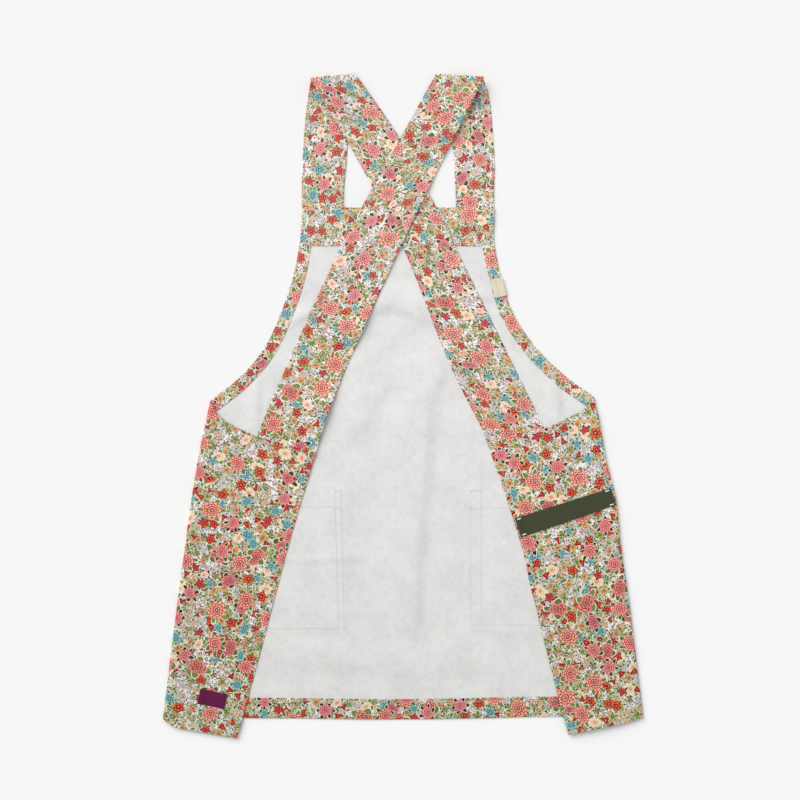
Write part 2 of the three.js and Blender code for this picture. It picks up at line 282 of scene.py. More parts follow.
def walk(points, at, detail=40):
    """Places at some shares of the length of a smooth curve through a few points."""
    knots = np.array(points, float)
    padded = np.vstack([2 * knots[0] - knots[1], knots, 2 * knots[-1] - knots[-2]])
    pieces = [knots[:1]]
    for a, b, c, d in zip(padded, padded[1:], padded[2:], padded[3:]):
        gaps = [np.linalg.norm(q - p) ** 0.5 for p, q in ((a, b), (b, c), (c, d))]
        t0, t1, t2, t3 = np.cumsum([0, *gaps])
        t = np.linspace(t1, t2, detail)[1:, None]
        ab = (a * (t1 - t) + b * (t - t0)) / (t1 - t0)
        bc = (b * (t2 - t) + c * (t - t1)) / (t2 - t1)
        cd = (c * (t3 - t) + d * (t - t2)) / (t3 - t2)
        abc = (ab * (t2 - t) + bc * (t - t0)) / (t2 - t0)
        bcd = (bc * (t3 - t) + cd * (t - t1)) / (t3 - t1)
        pieces.append((abc * (t2 - t) + bcd * (t - t1)) / (t2 - t1))
    return along_line(np.vstack(pieces), at)


def line_reach(line):
    """Length along a line of points, up to each point."""
    return np.concatenate([[0], np.cumsum(np.linalg.norm(np.diff(line, axis=0), axis=1))])


def along_line(line, at):
    """Places at some shares of the length of a line of points."""
    reach = line_reach(line)
    where = np.asarray(at) * reach[-1]
    return np.stack([np.interp(where, reach, line[:, k]) for k in range(line.shape[1])], axis=1)


def unit(vectors):
    """Vectors of the same headings with a length of one."""
    return vectors / np.linalg.norm(vectors, axis=-1, keepdims=True)


def pairs(first, second):
    """A grid of pairs from two arrays that stretch to each other's shape."""
    return np.stack(np.broadcast_arrays(first, second), axis=-1)


def between(start, end, at):
    """A grid of places, each row straight from a start to an end."""
    at = np.asarray(at)[None, :, None]
    return start[:, None, :] * (1 - at) + end[:, None, :] * at


def inset(line, distance):
    """A line moved sideways to its left by a distance."""
    heading = unit(np.gradient(line, axis=0))
    return line + distance * np.stack([-heading[:, 1], heading[:, 0]], axis=1)


def ripples(x, y, kind, waves=7):
    """Soft random waves, the same each run, from nothing to twice the height of their kind."""
    ripple = RIPPLES[kind]
    draw = np.random.default_rng(ripple["seed"])
    heading = draw.uniform(0, TURN, waves)
    phase = draw.uniform(0, TURN, waves)
    pitch = TURN / (ripple["length"] * draw.uniform(0.7, 1.5, waves))
    total = np.zeros(np.broadcast(x, y).shape)
    for angle, start, turns in zip(heading, phase, pitch):
        total += np.sin(turns * (x * math.cos(angle) + y * math.sin(angle)) + start)
    return ripple["height"] * (1 + np.clip(total / math.sqrt(waves), -1, 1))


def drape(x, y, box, margin, reach):
    """One inside a box grown by a margin, fading to nothing over a further reach."""
    left, right, bottom, top = box
    across = 1 - smooth(np.maximum(left - x, x - right), margin, margin + reach)
    along = 1 - smooth(np.maximum(bottom - y, y - top), margin, margin + reach)
    return across * along


def crease_height(x, y, crease):
    """How high one soft crease stands at a place, from the nearest part of its line."""
    line = np.array(crease["line"], float)
    along_starts = line_reach(line)
    shape = np.broadcast(x, y).shape
    nearest = np.full(shape, np.inf)
    along = np.zeros(shape)
    reach = np.ones(shape)
    for (x0, y0), (x1, y1), start in zip(line, line[1:], along_starts):
        dx, dy = x1 - x0, y1 - y0
        share = np.clip(((x - x0) * dx + (y - y0) * dy) / (dx * dx + dy * dy), 0, 1)
        distance = np.hypot(x - x0 - share * dx, y - y0 - share * dy)
        closer = distance < nearest
        on_left = dx * (y - y0) - dy * (x - x0) > 0
        nearest = np.where(closer, distance, nearest)
        along = np.where(closer, start + share * math.hypot(dx, dy), along)
        reach = np.where(closer, np.where(on_left, *crease["reach"]), reach)
    ease = min(CREASE_EASE, along_starts[-1] / 3)
    eased = smooth(np.minimum(along, along_starts[-1] - along), 0, ease)
    return crease["height"] * eased * (1 - smooth(nearest / reach, 0, 1))


# Heights of the cloths

def pocket_box(pocket):
    """Left, right, bottom and top of a pocket."""
    outer = pocket["inner"] + pocket["outward"] * POCKET_WIDTH
    left, right = sorted((pocket["inner"], outer))
    return left, right, POCKET_TOP - POCKET_DEPTH, POCKET_TOP


def front_height(x, y):
    """The front lies on the floor, lifted by the pockets under it and by its own soft creases."""
    lift = np.zeros(np.broadcast(x, y).shape)
    for pocket in POCKETS:
        lift = np.maximum(lift, LAYER * drape(x, y, pocket_box(pocket), margin=1, reach=12))
    for crease in CREASES:
        lift = np.maximum(lift, crease_height(x, y, crease))
    return FLOOR_LAYER + lift + ripples(x, y, "front")


def facing_height(x, y):
    """A facing lies on the front, with small puckers."""
    return front_height(x, y) + LAYER + ripples(x, y, "facing")


def bib_facing_height(x, y):
    """The bib facing rises over the two strap ends that are tucked under it."""
    rise = np.zeros(np.broadcast(x, y).shape)
    for strap in (LEFT_STRAP, RIGHT_STRAP):
        left, right = sorted((strap["leg_outer"][0][0], strap["leg_inner"][0][0]))
        box = (left, right, BIB_TOP - STRAP_TUCK, BIB_TOP)
        rise = np.maximum(rise, (STRAP_CLOTH + AIR) * drape(x, y, box, margin=3, reach=9))
    return facing_height(x, y) + rise


def back_height(x, y):
    """A back panel lies on the front, and on the hem of the front where it reaches that far down."""
    over_hem = 1 - smooth(y, HEM_TOP + STEP_NEAR, HEM_TOP + STEP_FAR)
    return front_height(x, y) + LAYER * (1 + over_hem) + PANEL_AIR


def corner_lift(x, y):
    """How far the cloth near the lifted corner stands off what it lies on."""
    distance = np.hypot(x - LIFTED_CORNER["x"], y - LIFTED_CORNER["y"])
    return LIFTED_CORNER["height"] * (1 - smooth(distance, 0, LIFTED_CORNER["reach"]))


def strap_height(x, y):
    """A strap lies on the front, and on the bib facing where it crosses that."""
    facing_edge = BIB_TOP - BIB_FACING_DEPTH
    over_facing = smooth(y, facing_edge - STEP_FAR, facing_edge - STEP_NEAR)
    over_facing = over_facing * (1 - smooth(y, BIB_TOP + LEAVES_BIB, BIB_TOP + REACHES_FLOOR))
    return front_height(x, y) + (LAWN + STRAP_CLOTH) / 2 + AIR + (LAYER + AIR) * over_facing


def crossing_share(x, y):
    """One where the straps cross, fading down the back and to the right of the left strap's inner edge."""
    edge = walk(LEFT_STRAP["back_inner"], np.linspace(0, 1, EDGE_POINTS))
    past_edge = x - np.interp(-y, -edge[:, 1], edge[:, 0])
    return smooth(y, CROSSING_END, CROSSING_START) * (1 - smooth(past_edge, *CROSSING_PAST))


# Materials

# Sockets of the Mix node when it mixes colours
MIX_SHARE = 0
MIX_UNDER = 6
MIX_OVER = 7
MIX_RESULT = 2


def linear(colour):
    """An sRGB hex colour as linear RGBA."""
    parts = [int(colour[k:k + 2], 16) / 255 for k in (1, 3, 5)]
    return (*(p / 12.92 if p <= 0.04045 else ((p + 0.055) / 1.055) ** 2.4 for p in parts), 1.0)


def add_node(tree, kind, inputs=None, **settings):
    """Add a node, set its properties, and set or link its inputs. Gives back its outputs."""
    made = tree.nodes.new("ShaderNode" + kind)
    for key, value in settings.items():
        setattr(made, key, value)
    for key, value in (inputs or {}).items():
        if isinstance(value, bpy.types.NodeSocket):
            tree.links.new(value, made.inputs[key])
        else:
            made.inputs[key].default_value = value
    return made.outputs


def set_ramp(outputs, stops, interpolation="LINEAR"):
    """Give a colour ramp its stops, as pairs of position and sRGB hex colour, and give back its colour."""
    ramp = outputs[0].node.color_ramp
    ramp.interpolation = interpolation
    while len(ramp.elements) < len(stops):
        ramp.elements.new(1.0)
    for element, (position, colour) in zip(ramp.elements, stops):
        element.position = position
        element.color = linear(colour)
    return outputs["Color"]


def new_material(name):
    """An empty material, its node tree, and the flat cut of the cloth as a place in metres."""
    material = bpy.data.materials.new(name)
    material.use_nodes = True
    tree = material.node_tree
    tree.nodes.clear()
    place = add_node(tree, "UVMap", uv_map="cut")["UV"]
    return material, tree, place


def finish_material(tree, colour, roughness, sheen, height, relief):
    """A rough surface with a fine relief that stands up by some mm, and the output of the material."""
    inputs = {"Strength": 1.0, "Distance": relief * MM, "Height": height}
    bump = add_node(tree, "Bump", inputs)["Normal"]
    inputs = {
        "Base Color": colour,
        "Roughness": roughness,
        "IOR": 1.5,
        "Specular IOR Level": 0.25,
        "Sheen Weight": sheen,
        "Sheen Roughness": 0.5,
        "Normal": bump,
    }
    surface = add_node(tree, "BsdfPrincipled", inputs)["BSDF"]
    add_node(tree, "OutputMaterial", {"Surface": surface})


def streaks(tree, place, length, width, turn):
    """Noise drawn out into streaks of a length and width in mm, as thick and thin yarns make."""
    scale = (1 / (length * MM), 1 / (width * MM), 1)
    spot = add_node(tree, "Mapping", {"Vector": place, "Rotation": (0, 0, turn), "Scale": scale})["Vector"]
    inputs = {"Vector": spot, "Scale": 1.0, "Detail": 2.0}
    return add_node(tree, "TexNoise", inputs, noise_dimensions="2D")["Fac"]


def weave(tree, place, length, width):
    """Relief of warp and weft yarns. Lawn has a yarn every 0.25 mm, drawn coarser here so that it shows."""
    warp = streaks(tree, place, length, width, turn=0)
    weft = streaks(tree, place, length, width, turn=TURN / 4)
    return add_node(tree, "Math", {0: warp, 1: weft}, operation="ADD")["Value"]


def cells(tree, place, motif):
    """Scatter one motif: the place in its own turned cell, and three random numbers for each cell.

    A slant above one draws the motif narrower one way, as a flower seen from the side.
    """
    scale = 1 / (motif["spacing"] * MM)
    inputs = {
        "Vector": place,
        "Location": (motif["shift"], motif["shift"] * UP_SHIFT, 0),
        "Rotation": (0, 0, motif["turn"]),
        "Scale": (scale, scale, scale),
    }
    spot = add_node(tree, "Mapping", inputs)["Vector"]
    inputs = {"Vector": spot, "Scale": 1.0, "Randomness": motif["stray"]}
    cell = add_node(tree, "TexVoronoi", inputs, voronoi_dimensions="2D", feature="F1")
    local = add_node(tree, "VectorMath", {0: spot, 1: cell["Position"]}, operation="SUBTRACT")["Vector"]
    chance = add_node(tree, "SeparateColor", {"Color": cell["Color"]})
    angle = add_node(tree, "Math", {0: chance["Red"], 1: TURN}, operation="MULTIPLY")["Value"]
    inputs = {"Vector": local, "Angle": angle}
    turned = add_node(tree, "VectorRotate", inputs, rotation_type="Z_AXIS")["Vector"]
    axes = add_node(tree, "SeparateXYZ", {"Vector": turned})
    aside = add_node(tree, "Math", {0: axes["Y"], 1: motif.get("slant", 1.0)}, operation="MULTIPLY")["Value"]
    return axes["X"], aside, chance


def print_over(tree, place, under, over, mask, chance, motif):
    """One colour over the print so far, where a mask says so.

    It keeps to some of the motif's cells, and to patches where the motif grows in patches.
    """
    chosen = add_node(tree, "Math", {0: chance["Green"], 1: motif["kept"]}, operation="LESS_THAN")["Value"]
    mask = add_node(tree, "Math", {0: mask, 1: chosen}, operation="MULTIPLY")["Value"]
    if "patch" in motif:
        scale = 1 / (motif["patch"] * MM)
        inputs = {"Vector": place, "Scale": scale, "Detail": 1.0, "W": motif["shift"] * PATCH_STEP}
        cloud = add_node(tree, "TexNoise", inputs, noise_dimensions="4D")["Fac"]
        patch = add_node(tree, "Math", {0: cloud, 1: 0.5}, operation="GREATER_THAN")["Value"]
        mask = add_node(tree, "Math", {0: mask, 1: patch}, operation="MULTIPLY")["Value"]
    inputs = {MIX_SHARE: mask, MIX_UNDER: under, MIX_OVER: over}
    return add_node(tree, "Mix", inputs, data_type="RGBA")[MIX_RESULT]


def paint_leaves(tree, place, under, motif):
    """Pointed oval leaves with a vein and a pale rim, each of a colour between two."""
    x, y, chance = cells(tree, place, motif)
    half_length, half_width = motif["size"]
    squared = add_node(tree, "Math", {0: x, 1: x}, operation="MULTIPLY")["Value"]
    inputs = {0: squared, 1: -half_width / half_length ** 2, 2: half_width}
    outline = add_node(tree, "Math", inputs, operation="MULTIPLY_ADD")["Value"]
    aside = add_node(tree, "Math", {0: y}, operation="ABSOLUTE")["Value"]
    mask = add_node(tree, "Math", {0: aside, 1: outline}, operation="LESS_THAN")["Value"]
    rim = add_node(tree, "Math", {0: outline, 1: LEAF_RIM}, operation="ADD")["Value"]
    around = add_node(tree, "Math", {0: aside, 1: rim}, operation="LESS_THAN")["Value"]
    under = print_over(tree, place, under, linear(GROUND), around, chance, motif)
    vein = add_node(tree, "Math", {0: aside, 1: half_width * VEIN}, operation="LESS_THAN")["Value"]
    dark, light, vein_colour = (linear(colour) for colour in motif["colours"])
    inputs = {MIX_SHARE: chance["Blue"], MIX_UNDER: dark, MIX_OVER: light}
    leaf = add_node(tree, "Mix", inputs, data_type="RGBA")[MIX_RESULT]
    inputs = {MIX_SHARE: vein, MIX_UNDER: leaf, MIX_OVER: vein_colour}
    leaf = add_node(tree, "Mix", inputs, data_type="RGBA")[MIX_RESULT]
    return print_over(tree, place, under, leaf, mask, chance, motif)


def paint_dots(tree, place, under, motif):
    """Small round dots in several colours."""
    x, y, chance = cells(tree, place, motif)
    spot = add_node(tree, "CombineXYZ", {"X": x, "Y": y})["Vector"]
    reach = add_node(tree, "VectorMath", {0: spot}, operation="LENGTH")["Value"]
    mask = add_node(tree, "Math", {0: reach, 1: motif["size"]}, operation="LESS_THAN")["Value"]
    stops = [(k / len(motif["colours"]), colour) for k, colour in enumerate(motif["colours"])]
    dot = set_ramp(add_node(tree, "ValToRGB", {"Fac": chance["Blue"]}), stops, "CONSTANT")
    return print_over(tree, place, under, dot, mask, chance, motif)


def paint_blossoms(tree, place, under, motif):
    """Blossoms: rings of lobed petals with lines between, leaves behind them and a pale rim around."""
    x, y, chance = cells(tree, place, motif)
    spot = add_node(tree, "CombineXYZ", {"X": x, "Y": y})["Vector"]
    reach = add_node(tree, "VectorMath", {0: spot}, operation="LENGTH")["Value"]
    inputs = {0: chance["Blue"], 1: GROWTH * motif["size"], 2: SMALLEST * motif["size"]}
    grown = add_node(tree, "Math", inputs, operation="MULTIPLY_ADD")["Value"]
    reach = add_node(tree, "Math", {0: reach, 1: grown}, operation="DIVIDE")["Value"]
    angle = add_node(tree, "Math", {0: y, 1: x}, operation="ARCTAN2")["Value"]

    sweep = add_node(tree, "Math", {0: angle, 1: motif["leaves"] / 2}, operation="MULTIPLY")["Value"]
    point = add_node(tree, "Math", {0: sweep}, operation="COSINE")["Value"]
    point = add_node(tree, "Math", {0: point}, operation="ABSOLUTE")["Value"]
    point = add_node(tree, "Math", {0: point, 1: LEAF_POINT}, operation="POWER")["Value"]
    inputs = {0: point, 1: LEAF_REACH, 2: LEAF_ROOT}
    point = add_node(tree, "Math", inputs, operation="MULTIPLY_ADD")["Value"]
    rim = add_node(tree, "Math", {0: point, 1: PALE_RIM}, operation="ADD")["Value"]
    around = add_node(tree, "Math", {0: reach, 1: rim}, operation="LESS_THAN")["Value"]
    under = print_over(tree, place, under, linear(GROUND), around, chance, motif)
    behind = add_node(tree, "Math", {0: reach, 1: point}, operation="LESS_THAN")["Value"]
    dark, light = (linear(colour) for colour in motif["leaf"])
    inputs = {MIX_SHARE: chance["Blue"], MIX_UNDER: dark, MIX_OVER: light}
    leaf = add_node(tree, "Mix", inputs, data_type="RGBA")[MIX_RESULT]
    under = print_over(tree, place, under, leaf, behind, chance, motif)

    rings = add_node(tree, "Math", {0: reach, 1: motif["rings"]}, operation="MULTIPLY")["Value"]
    ring = add_node(tree, "Math", {0: rings}, operation="FLOOR")["Value"]
    inputs = {0: ring, 1: math.pi / motif["petals"], 2: angle}
    staggered = add_node(tree, "Math", inputs, operation="MULTIPLY_ADD")["Value"]
    sweep = add_node(tree, "Math", {0: staggered, 1: motif["petals"] / 2}, operation="MULTIPLY")["Value"]
    petal = add_node(tree, "Math", {0: sweep}, operation="COSINE")["Value"]
    petal = add_node(tree, "Math", {0: petal}, operation="ABSOLUTE")["Value"]
    inputs = {0: petal, 1: motif["lobe"], 2: 1 - motif["lobe"]}
    outline = add_node(tree, "Math", inputs, operation="MULTIPLY_ADD")["Value"]
    share = add_node(tree, "Math", {0: reach, 1: outline}, operation="DIVIDE")["Value"]
    mask = add_node(tree, "Math", {0: share, 1: 1.0}, operation="LESS_THAN")["Value"]
    bloom = set_ramp(add_node(tree, "ValToRGB", {"Fac": share}), motif["colours"])

    line = add_node(tree, "Math", {0: petal, 1: motif["line_width"]}, operation="LESS_THAN")["Value"]
    outside_eye = add_node(tree, "Math", {0: reach, 1: EYE}, operation="GREATER_THAN")["Value"]
    line = add_node(tree, "Math", {0: line, 1: outside_eye}, operation="MULTIPLY")["Value"]
    inputs = {0: petal, 1: -EDGE_CURVE, 2: rings}
    edge = add_node(tree, "Math", inputs, operation="MULTIPLY_ADD")["Value"]
    edge = add_node(tree, "Math", {0: edge}, operation="FRACT")["Value"]
    edge = add_node(tree, "Math", {0: edge, 1: EDGE_FROM}, operation="GREATER_THAN")["Value"]
    for drawn, colour in ((line, motif["line"]), (edge, motif["edge"])):
        inputs = {MIX_SHARE: drawn, MIX_UNDER: bloom, MIX_OVER: linear(colour)}
        bloom = add_node(tree, "Mix", inputs, data_type="RGBA")[MIX_RESULT]
    inputs = {0: chance["Blue"], 1: HUE_SWING, 2: 0.5 - HUE_SWING / 2}
    hue = add_node(tree, "Math", inputs, operation="MULTIPLY_ADD")["Value"]
    bloom = add_node(tree, "HueSaturation", {"Hue": hue, "Color": bloom})["Color"]
    return print_over(tree, place, under, bloom, mask, chance, motif)


# Each layer of the print is shifted by its own amount, further up than across, and its patches lie
# elsewhere
UP_SHIFT = 1.7
PATCH_STEP = 9

# Leaves: the pale rim as a share of the spacing, and the vein as a share of half the width
LEAF_RIM = 0.05
VEIN = 0.14

# Blossoms: the smallest, as a share of the full size, how far others grow beyond that, and the swing of
# hue. The rest are shares of a blossom's reach: the rim, the eye, and the leaves behind, their root and how
# far they go past it, pointed by a power. The pale edge of a ring of petals is curved, and is the last part
# of the ring.
SMALLEST = 0.75
GROWTH = 0.45
HUE_SWING = 0.03
PALE_RIM = 0.13
EYE = 0.25
LEAF_ROOT = 0.7
LEAF_REACH = 0.75
LEAF_POINT = 3.0
EDGE_CURVE = 0.4
EDGE_FROM = 0.78

# The print, from the ground up. Spacings and patches are in mm, sizes are shares of the spacing.
GROUND = "#EDE8E0"
FIELD = "#E0D8C8"
GREENS = ("#1F330E", "#7C9556")
PRINT = [
    {"kind": paint_leaves, "spacing": 6.4, "turn": 0.3, "shift": 0.2, "stray": 0.8, "kept": 0.84,
     "size": (0.58, 0.36), "colours": ("#7C8748", "#C3BC8C", "#DAD4B0")},
    {"kind": paint_leaves, "spacing": 5, "turn": 0.8, "shift": 0.35, "stray": 0.9, "kept": 0.85,
     "size": (0.6, 0.09), "colours": ("#38270F", "#6A5230", "#6A5230")},
    {"kind": paint_leaves, "spacing": 7.5, "turn": 1.1, "shift": 0.9, "stray": 0.9, "kept": 0.75,
     "size": (0.5, 0.2), "colours": ("#1F350E", "#788E4E", "#B4BE8C")},
    {"kind": paint_leaves, "spacing": 8.5, "turn": 0.2, "shift": 0.15, "stray": 0.85, "kept": 0.9,
     "patch": 30, "size": (0.6, 0.34), "colours": ("#4A5C1F", "#AC9F5A", "#D6CA9C")},
    {"kind": paint_leaves, "spacing": 4.6, "turn": 0.5, "shift": 0.45, "stray": 0.9, "kept": 0.5,
     "size": (0.5, 0.22), "colours": ("#1A2C10", "#463F1C", "#8C9A62")},
    {"kind": paint_dots, "spacing": 3.4, "turn": 0.1, "shift": 0.6, "stray": 0.8, "kept": 0.95,
     "patch": 30, "size": 0.6, "colours": ("#EEE8E2", "#E4DDE2", "#F1ECE6")},
    {"kind": paint_dots, "spacing": 2.6, "turn": 0.7, "shift": 0.6, "stray": 0.8, "kept": 0.9,
     "patch": 30, "size": 0.35,
     "colours": ("#8A3A48", "#B9AEBB", "#B24A58", "#97A398", "#7E6478", "#EFE8E6")},
    {"kind": paint_blossoms, "spacing": 6.5, "turn": 0.4, "shift": 0.8, "stray": 0.6, "kept": 0.7,
     "patch": 44, "size": 0.34, "petals": 4, "rings": 1, "lobe": 0.4, "leaves": 3,
     "leaf": ("#7E955A", "#A59BB2"),
     "line_width": 0.15, "line": "#6E4654", "edge": "#DDD4DC",
     "colours": [(0, "#7A3A4C"), (0.3, "#ADA2B8"), (1, "#D3CAD6")]},
    {"kind": paint_blossoms, "spacing": 15, "turn": 1.0, "shift": 0.65, "stray": 0.7, "kept": 0.5,
     "size": 0.36, "petals": 5, "rings": 2, "lobe": 0.45, "leaves": 5, "leaf": GREENS, "slant": 1.25,
     "line_width": 0.2, "line": "#263A12", "edge": "#CFC796",
     "colours": [(0, "#22350F"), (0.4, "#6A7436"), (1, "#AC9F5C")]},
    {"kind": paint_blossoms, "spacing": 11, "turn": 0.5, "shift": 0.1, "stray": 0.7, "kept": 0.45,
     "size": 0.32, "petals": 5, "rings": 2, "lobe": 0.3, "leaves": 3, "leaf": GREENS, "slant": 1.25,
     "line_width": 0.2, "line": "#A8323A", "edge": "#F1D6BF",
     "colours": [(0, "#A02420"), (0.3, "#DA8A6C"), (1, "#EBC09E")]},
    {"kind": paint_blossoms, "spacing": 22, "turn": 1.3, "shift": 0.4, "stray": 0.6, "kept": 0.6,
     "size": 0.28, "petals": 8, "rings": 3, "lobe": 0.15, "leaves": 4, "leaf": GREENS, "slant": 1.3,
     "line_width": 0.3, "line": "#8E4522", "edge": "#E6C9A2",
     "colours": [(0, "#6E2F24"), (0.3, "#A55726"), (0.6, "#D0935C"), (1, "#DCB489")]},
    {"kind": paint_blossoms, "spacing": 31, "turn": 0.3, "shift": 0.85, "stray": 0.6, "kept": 0.4,
     "size": 0.29, "petals": 9, "rings": 3, "lobe": 0.12, "leaves": 5, "leaf": GREENS, "slant": 1.4,
     "line_width": 0.25, "line": "#D9937C", "edge": "#F6E8D8",
     "colours": [(0, "#B9402F"), (0.25, "#DD8A70"), (0.5, "#EBC7A8"), (1, "#F0D9C0")]},
    {"kind": paint_blossoms, "spacing": 15, "turn": 0.75, "shift": 0.25, "stray": 0.6, "kept": 0.25,
     "size": 0.32, "petals": 3, "rings": 1, "lobe": 0.3, "leaves": 3, "leaf": GREENS, "slant": 1.35,
     "line_width": 0.25, "line": "#560D12", "edge": "#D26A5A",
     "colours": [(0, "#E8B49E"), (0.25, "#861A1A"), (0.6, "#B0241B"), (1, "#CA3B29")]},
    {"kind": paint_blossoms, "spacing": 27, "turn": 0.9, "shift": 0.7, "stray": 0.55, "kept": 0.4,
     "size": 0.29, "petals": 7, "rings": 3, "lobe": 0.18, "leaves": 5, "leaf": GREENS, "slant": 1.3,
     "line_width": 0.3, "line": "#124C5C", "edge": "#C4DEDA",
     "colours": [(0, "#EFE9DC"), (0.2, "#12606F"), (0.6, "#45949C"), (1, "#92C5C3")]},
    {"kind": paint_blossoms, "spacing": 21, "turn": 0.2, "shift": 0.3, "stray": 0.55, "kept": 0.37,
     "size": 0.32, "petals": 6, "rings": 2, "lobe": 0.16, "leaves": 5, "leaf": GREENS, "slant": 1.15,
     "line_width": 0.25, "line": "#5E0E10", "edge": "#DC8472",
     "colours": [(0, "#EBC3A0"), (0.2, "#7A1416"), (0.5, "#BE2216"), (1, "#D63C27")]},
    {"kind": paint_blossoms, "spacing": 43, "turn": 1.15, "shift": 0.95, "stray": 0.6, "kept": 0.4,
     "size": 0.3, "petals": 6, "rings": 5, "lobe": 0.14, "leaves": 4, "leaf": GREENS, "slant": 1.45,
     "line_width": 0.3, "line": "#761720", "edge": "#F0CABF",
     "colours": [(0, "#6E1419"), (0.3, "#A82A34"), (0.6, "#C4454B"), (1, "#D86F6C")]},
    {"kind": paint_blossoms, "spacing": 37, "turn": 0.6, "shift": 0.55, "stray": 0.5, "kept": 0.5,
     "size": 0.31, "petals": 11, "rings": 4, "lobe": 0.1, "leaves": 6, "leaf": GREENS, "slant": 1.12,
     "line_width": 0.35, "line": "#8E1826", "edge": "#F8E0D5",
     "colours": [(0, "#9A1F26"), (0.3, "#C0383F"), (0.65, "#D8625C"), (1, "#E58A7D")]},
]

# The drawing strays by a few mm over the width of a motif, as a hand-drawn one does
STRAY_LENGTH = 14
STRAY_REACH = 5

# Painted light and shade on the print: it is painted lighter and crisper towards the shoulders, where the
# light is stronger, and painted deeper towards the hem, where the light falls off, from one height in mm to
# another
PRINT_PAINTED_LIGHT_FROM = -150
PRINT_PAINTED_LIGHT_TO = 200
PRINT_PAINTED_LIGHT_BRIGHTNESS = (0.008, 0.083)
PRINT_PAINTED_LIGHT_CONTRAST = (0.09, 0.17)
PRINT_PAINTED_LIGHT_SATURATION = (1.0, 0.94)
PRINT_PAINTED_SHADE_FROM = -150
PRINT_PAINTED_SHADE_TO = -430
PRINT_PAINTED_SHADE_TINT = "#EDF2ED"


def by_height(tree, start, end, low=0.0, high=1.0):
    """A value that goes from low at one height of the laid apron to high at another, in mm."""
    spot = add_node(tree, "SeparateXYZ", {"Vector": add_node(tree, "TexCoord")["Object"]})
    inputs = {
        "Value": spot["Y"],
        "From Min": start * MM,
        "From Max": end * MM,
        "To Min": low,
        "To Max": high,
    }
    return add_node(tree, "MapRange", inputs)["Result"]


def tinted(tree, colour, share, stops):
    """A colour multiplied by a tint that a share picks from some stops."""
    tint = set_ramp(add_node(tree, "ValToRGB", {"Fac": share}), stops)
    inputs = {MIX_SHARE: 1.0, MIX_UNDER: colour, MIX_OVER: tint}
    return add_node(tree, "Mix", inputs, data_type="RGBA", blend_type="MULTIPLY")[MIX_RESULT]


def printed_lawn():
    """Cotton lawn, screen printed: soft matt cloth whose small crowded blossoms read as coral from afar,
    with painted light towards the shoulders and painted shade towards the hem.
    """
    material, tree, place = new_material("screen_printed_cotton_lawn")
    inputs = {"Vector": place, "Scale": 1 / (STRAY_LENGTH * MM), "Detail": 1.0}
    cloud = add_node(tree, "TexNoise", inputs, noise_dimensions="2D")["Color"]
    stray = add_node(tree, "VectorMath", {0: cloud, 1: (0.5, 0.5, 0.5)}, operation="SUBTRACT")["Vector"]
    stray = add_node(tree, "VectorMath", {0: stray, "Scale": STRAY_REACH * MM}, operation="SCALE")["Vector"]
    drawn = add_node(tree, "VectorMath", {0: place, 1: stray}, operation="ADD")["Vector"]
    colour = linear(FIELD)
    for motif in PRINT:
        colour = motif["kind"](tree, drawn, colour, motif)
    # Painted light and shade: brighter and crisper towards the shoulders, deeper towards the hem
    inputs = {
        "Color": colour,
        "Bright": by_height(tree, PRINT_PAINTED_LIGHT_FROM, PRINT_PAINTED_LIGHT_TO, *PRINT_PAINTED_LIGHT_BRIGHTNESS),
        "Contrast": by_height(tree, PRINT_PAINTED_LIGHT_FROM, PRINT_PAINTED_LIGHT_TO, *PRINT_PAINTED_LIGHT_CONTRAST),
    }
    colour = add_node(tree, "BrightContrast", inputs)["Color"]
    saturation = by_height(tree, PRINT_PAINTED_LIGHT_FROM, PRINT_PAINTED_LIGHT_TO, *PRINT_PAINTED_LIGHT_SATURATION)
    colour = add_node(tree, "HueSaturation", {"Saturation": saturation, "Color": colour})["Color"]
    low = by_height(tree, PRINT_PAINTED_SHADE_FROM, PRINT_PAINTED_SHADE_TO)
    colour = tinted(tree, colour, low, [(0, "#FFFFFF"), (1, PRINT_PAINTED_SHADE_TINT)])
    yarns = weave(tree, place, length=9, width=1.1)
    finish_material(tree, colour, roughness=0.85, sheen=0.1, height=yarns, relief=0.25)
    return material


# The reverse: colours from its thin yarns to its slubs, and clouds with a noise scale in 1/m and tints from
# the dark parts to the light ones
SLUBS = [(0.34, "#EDEDEC"), (0.58, "#EFEFEF"), (0.67, "#F7F7F7")]
CLOUDS = [
    {"scale": 26.0, "detail": 2.0, "tints": [(0.35, "#F6F6F6"), (0.65, "#FDFDFD")]},
    {"scale": 110.0, "detail": 4.0, "tints": [(0.36, "#F6F6F6"), (0.5, "#FBFBFA"), (0.64, "#FDFBFA")]},
]

# Painted shade on the reverse, where the light falls off towards the hem: white down to one height and
# greyest at the other, near the hem, in mm
REVERSE_PAINTED_SHADE_FROM = 60
REVERSE_PAINTED_SHADE_TO = -400
REVERSE_PAINTED_SHADE_TINT = "#F4F4F3"

# How much the ribs of a tape stand out beside its thick and thin yarns
RIB_SHARE = 0.35


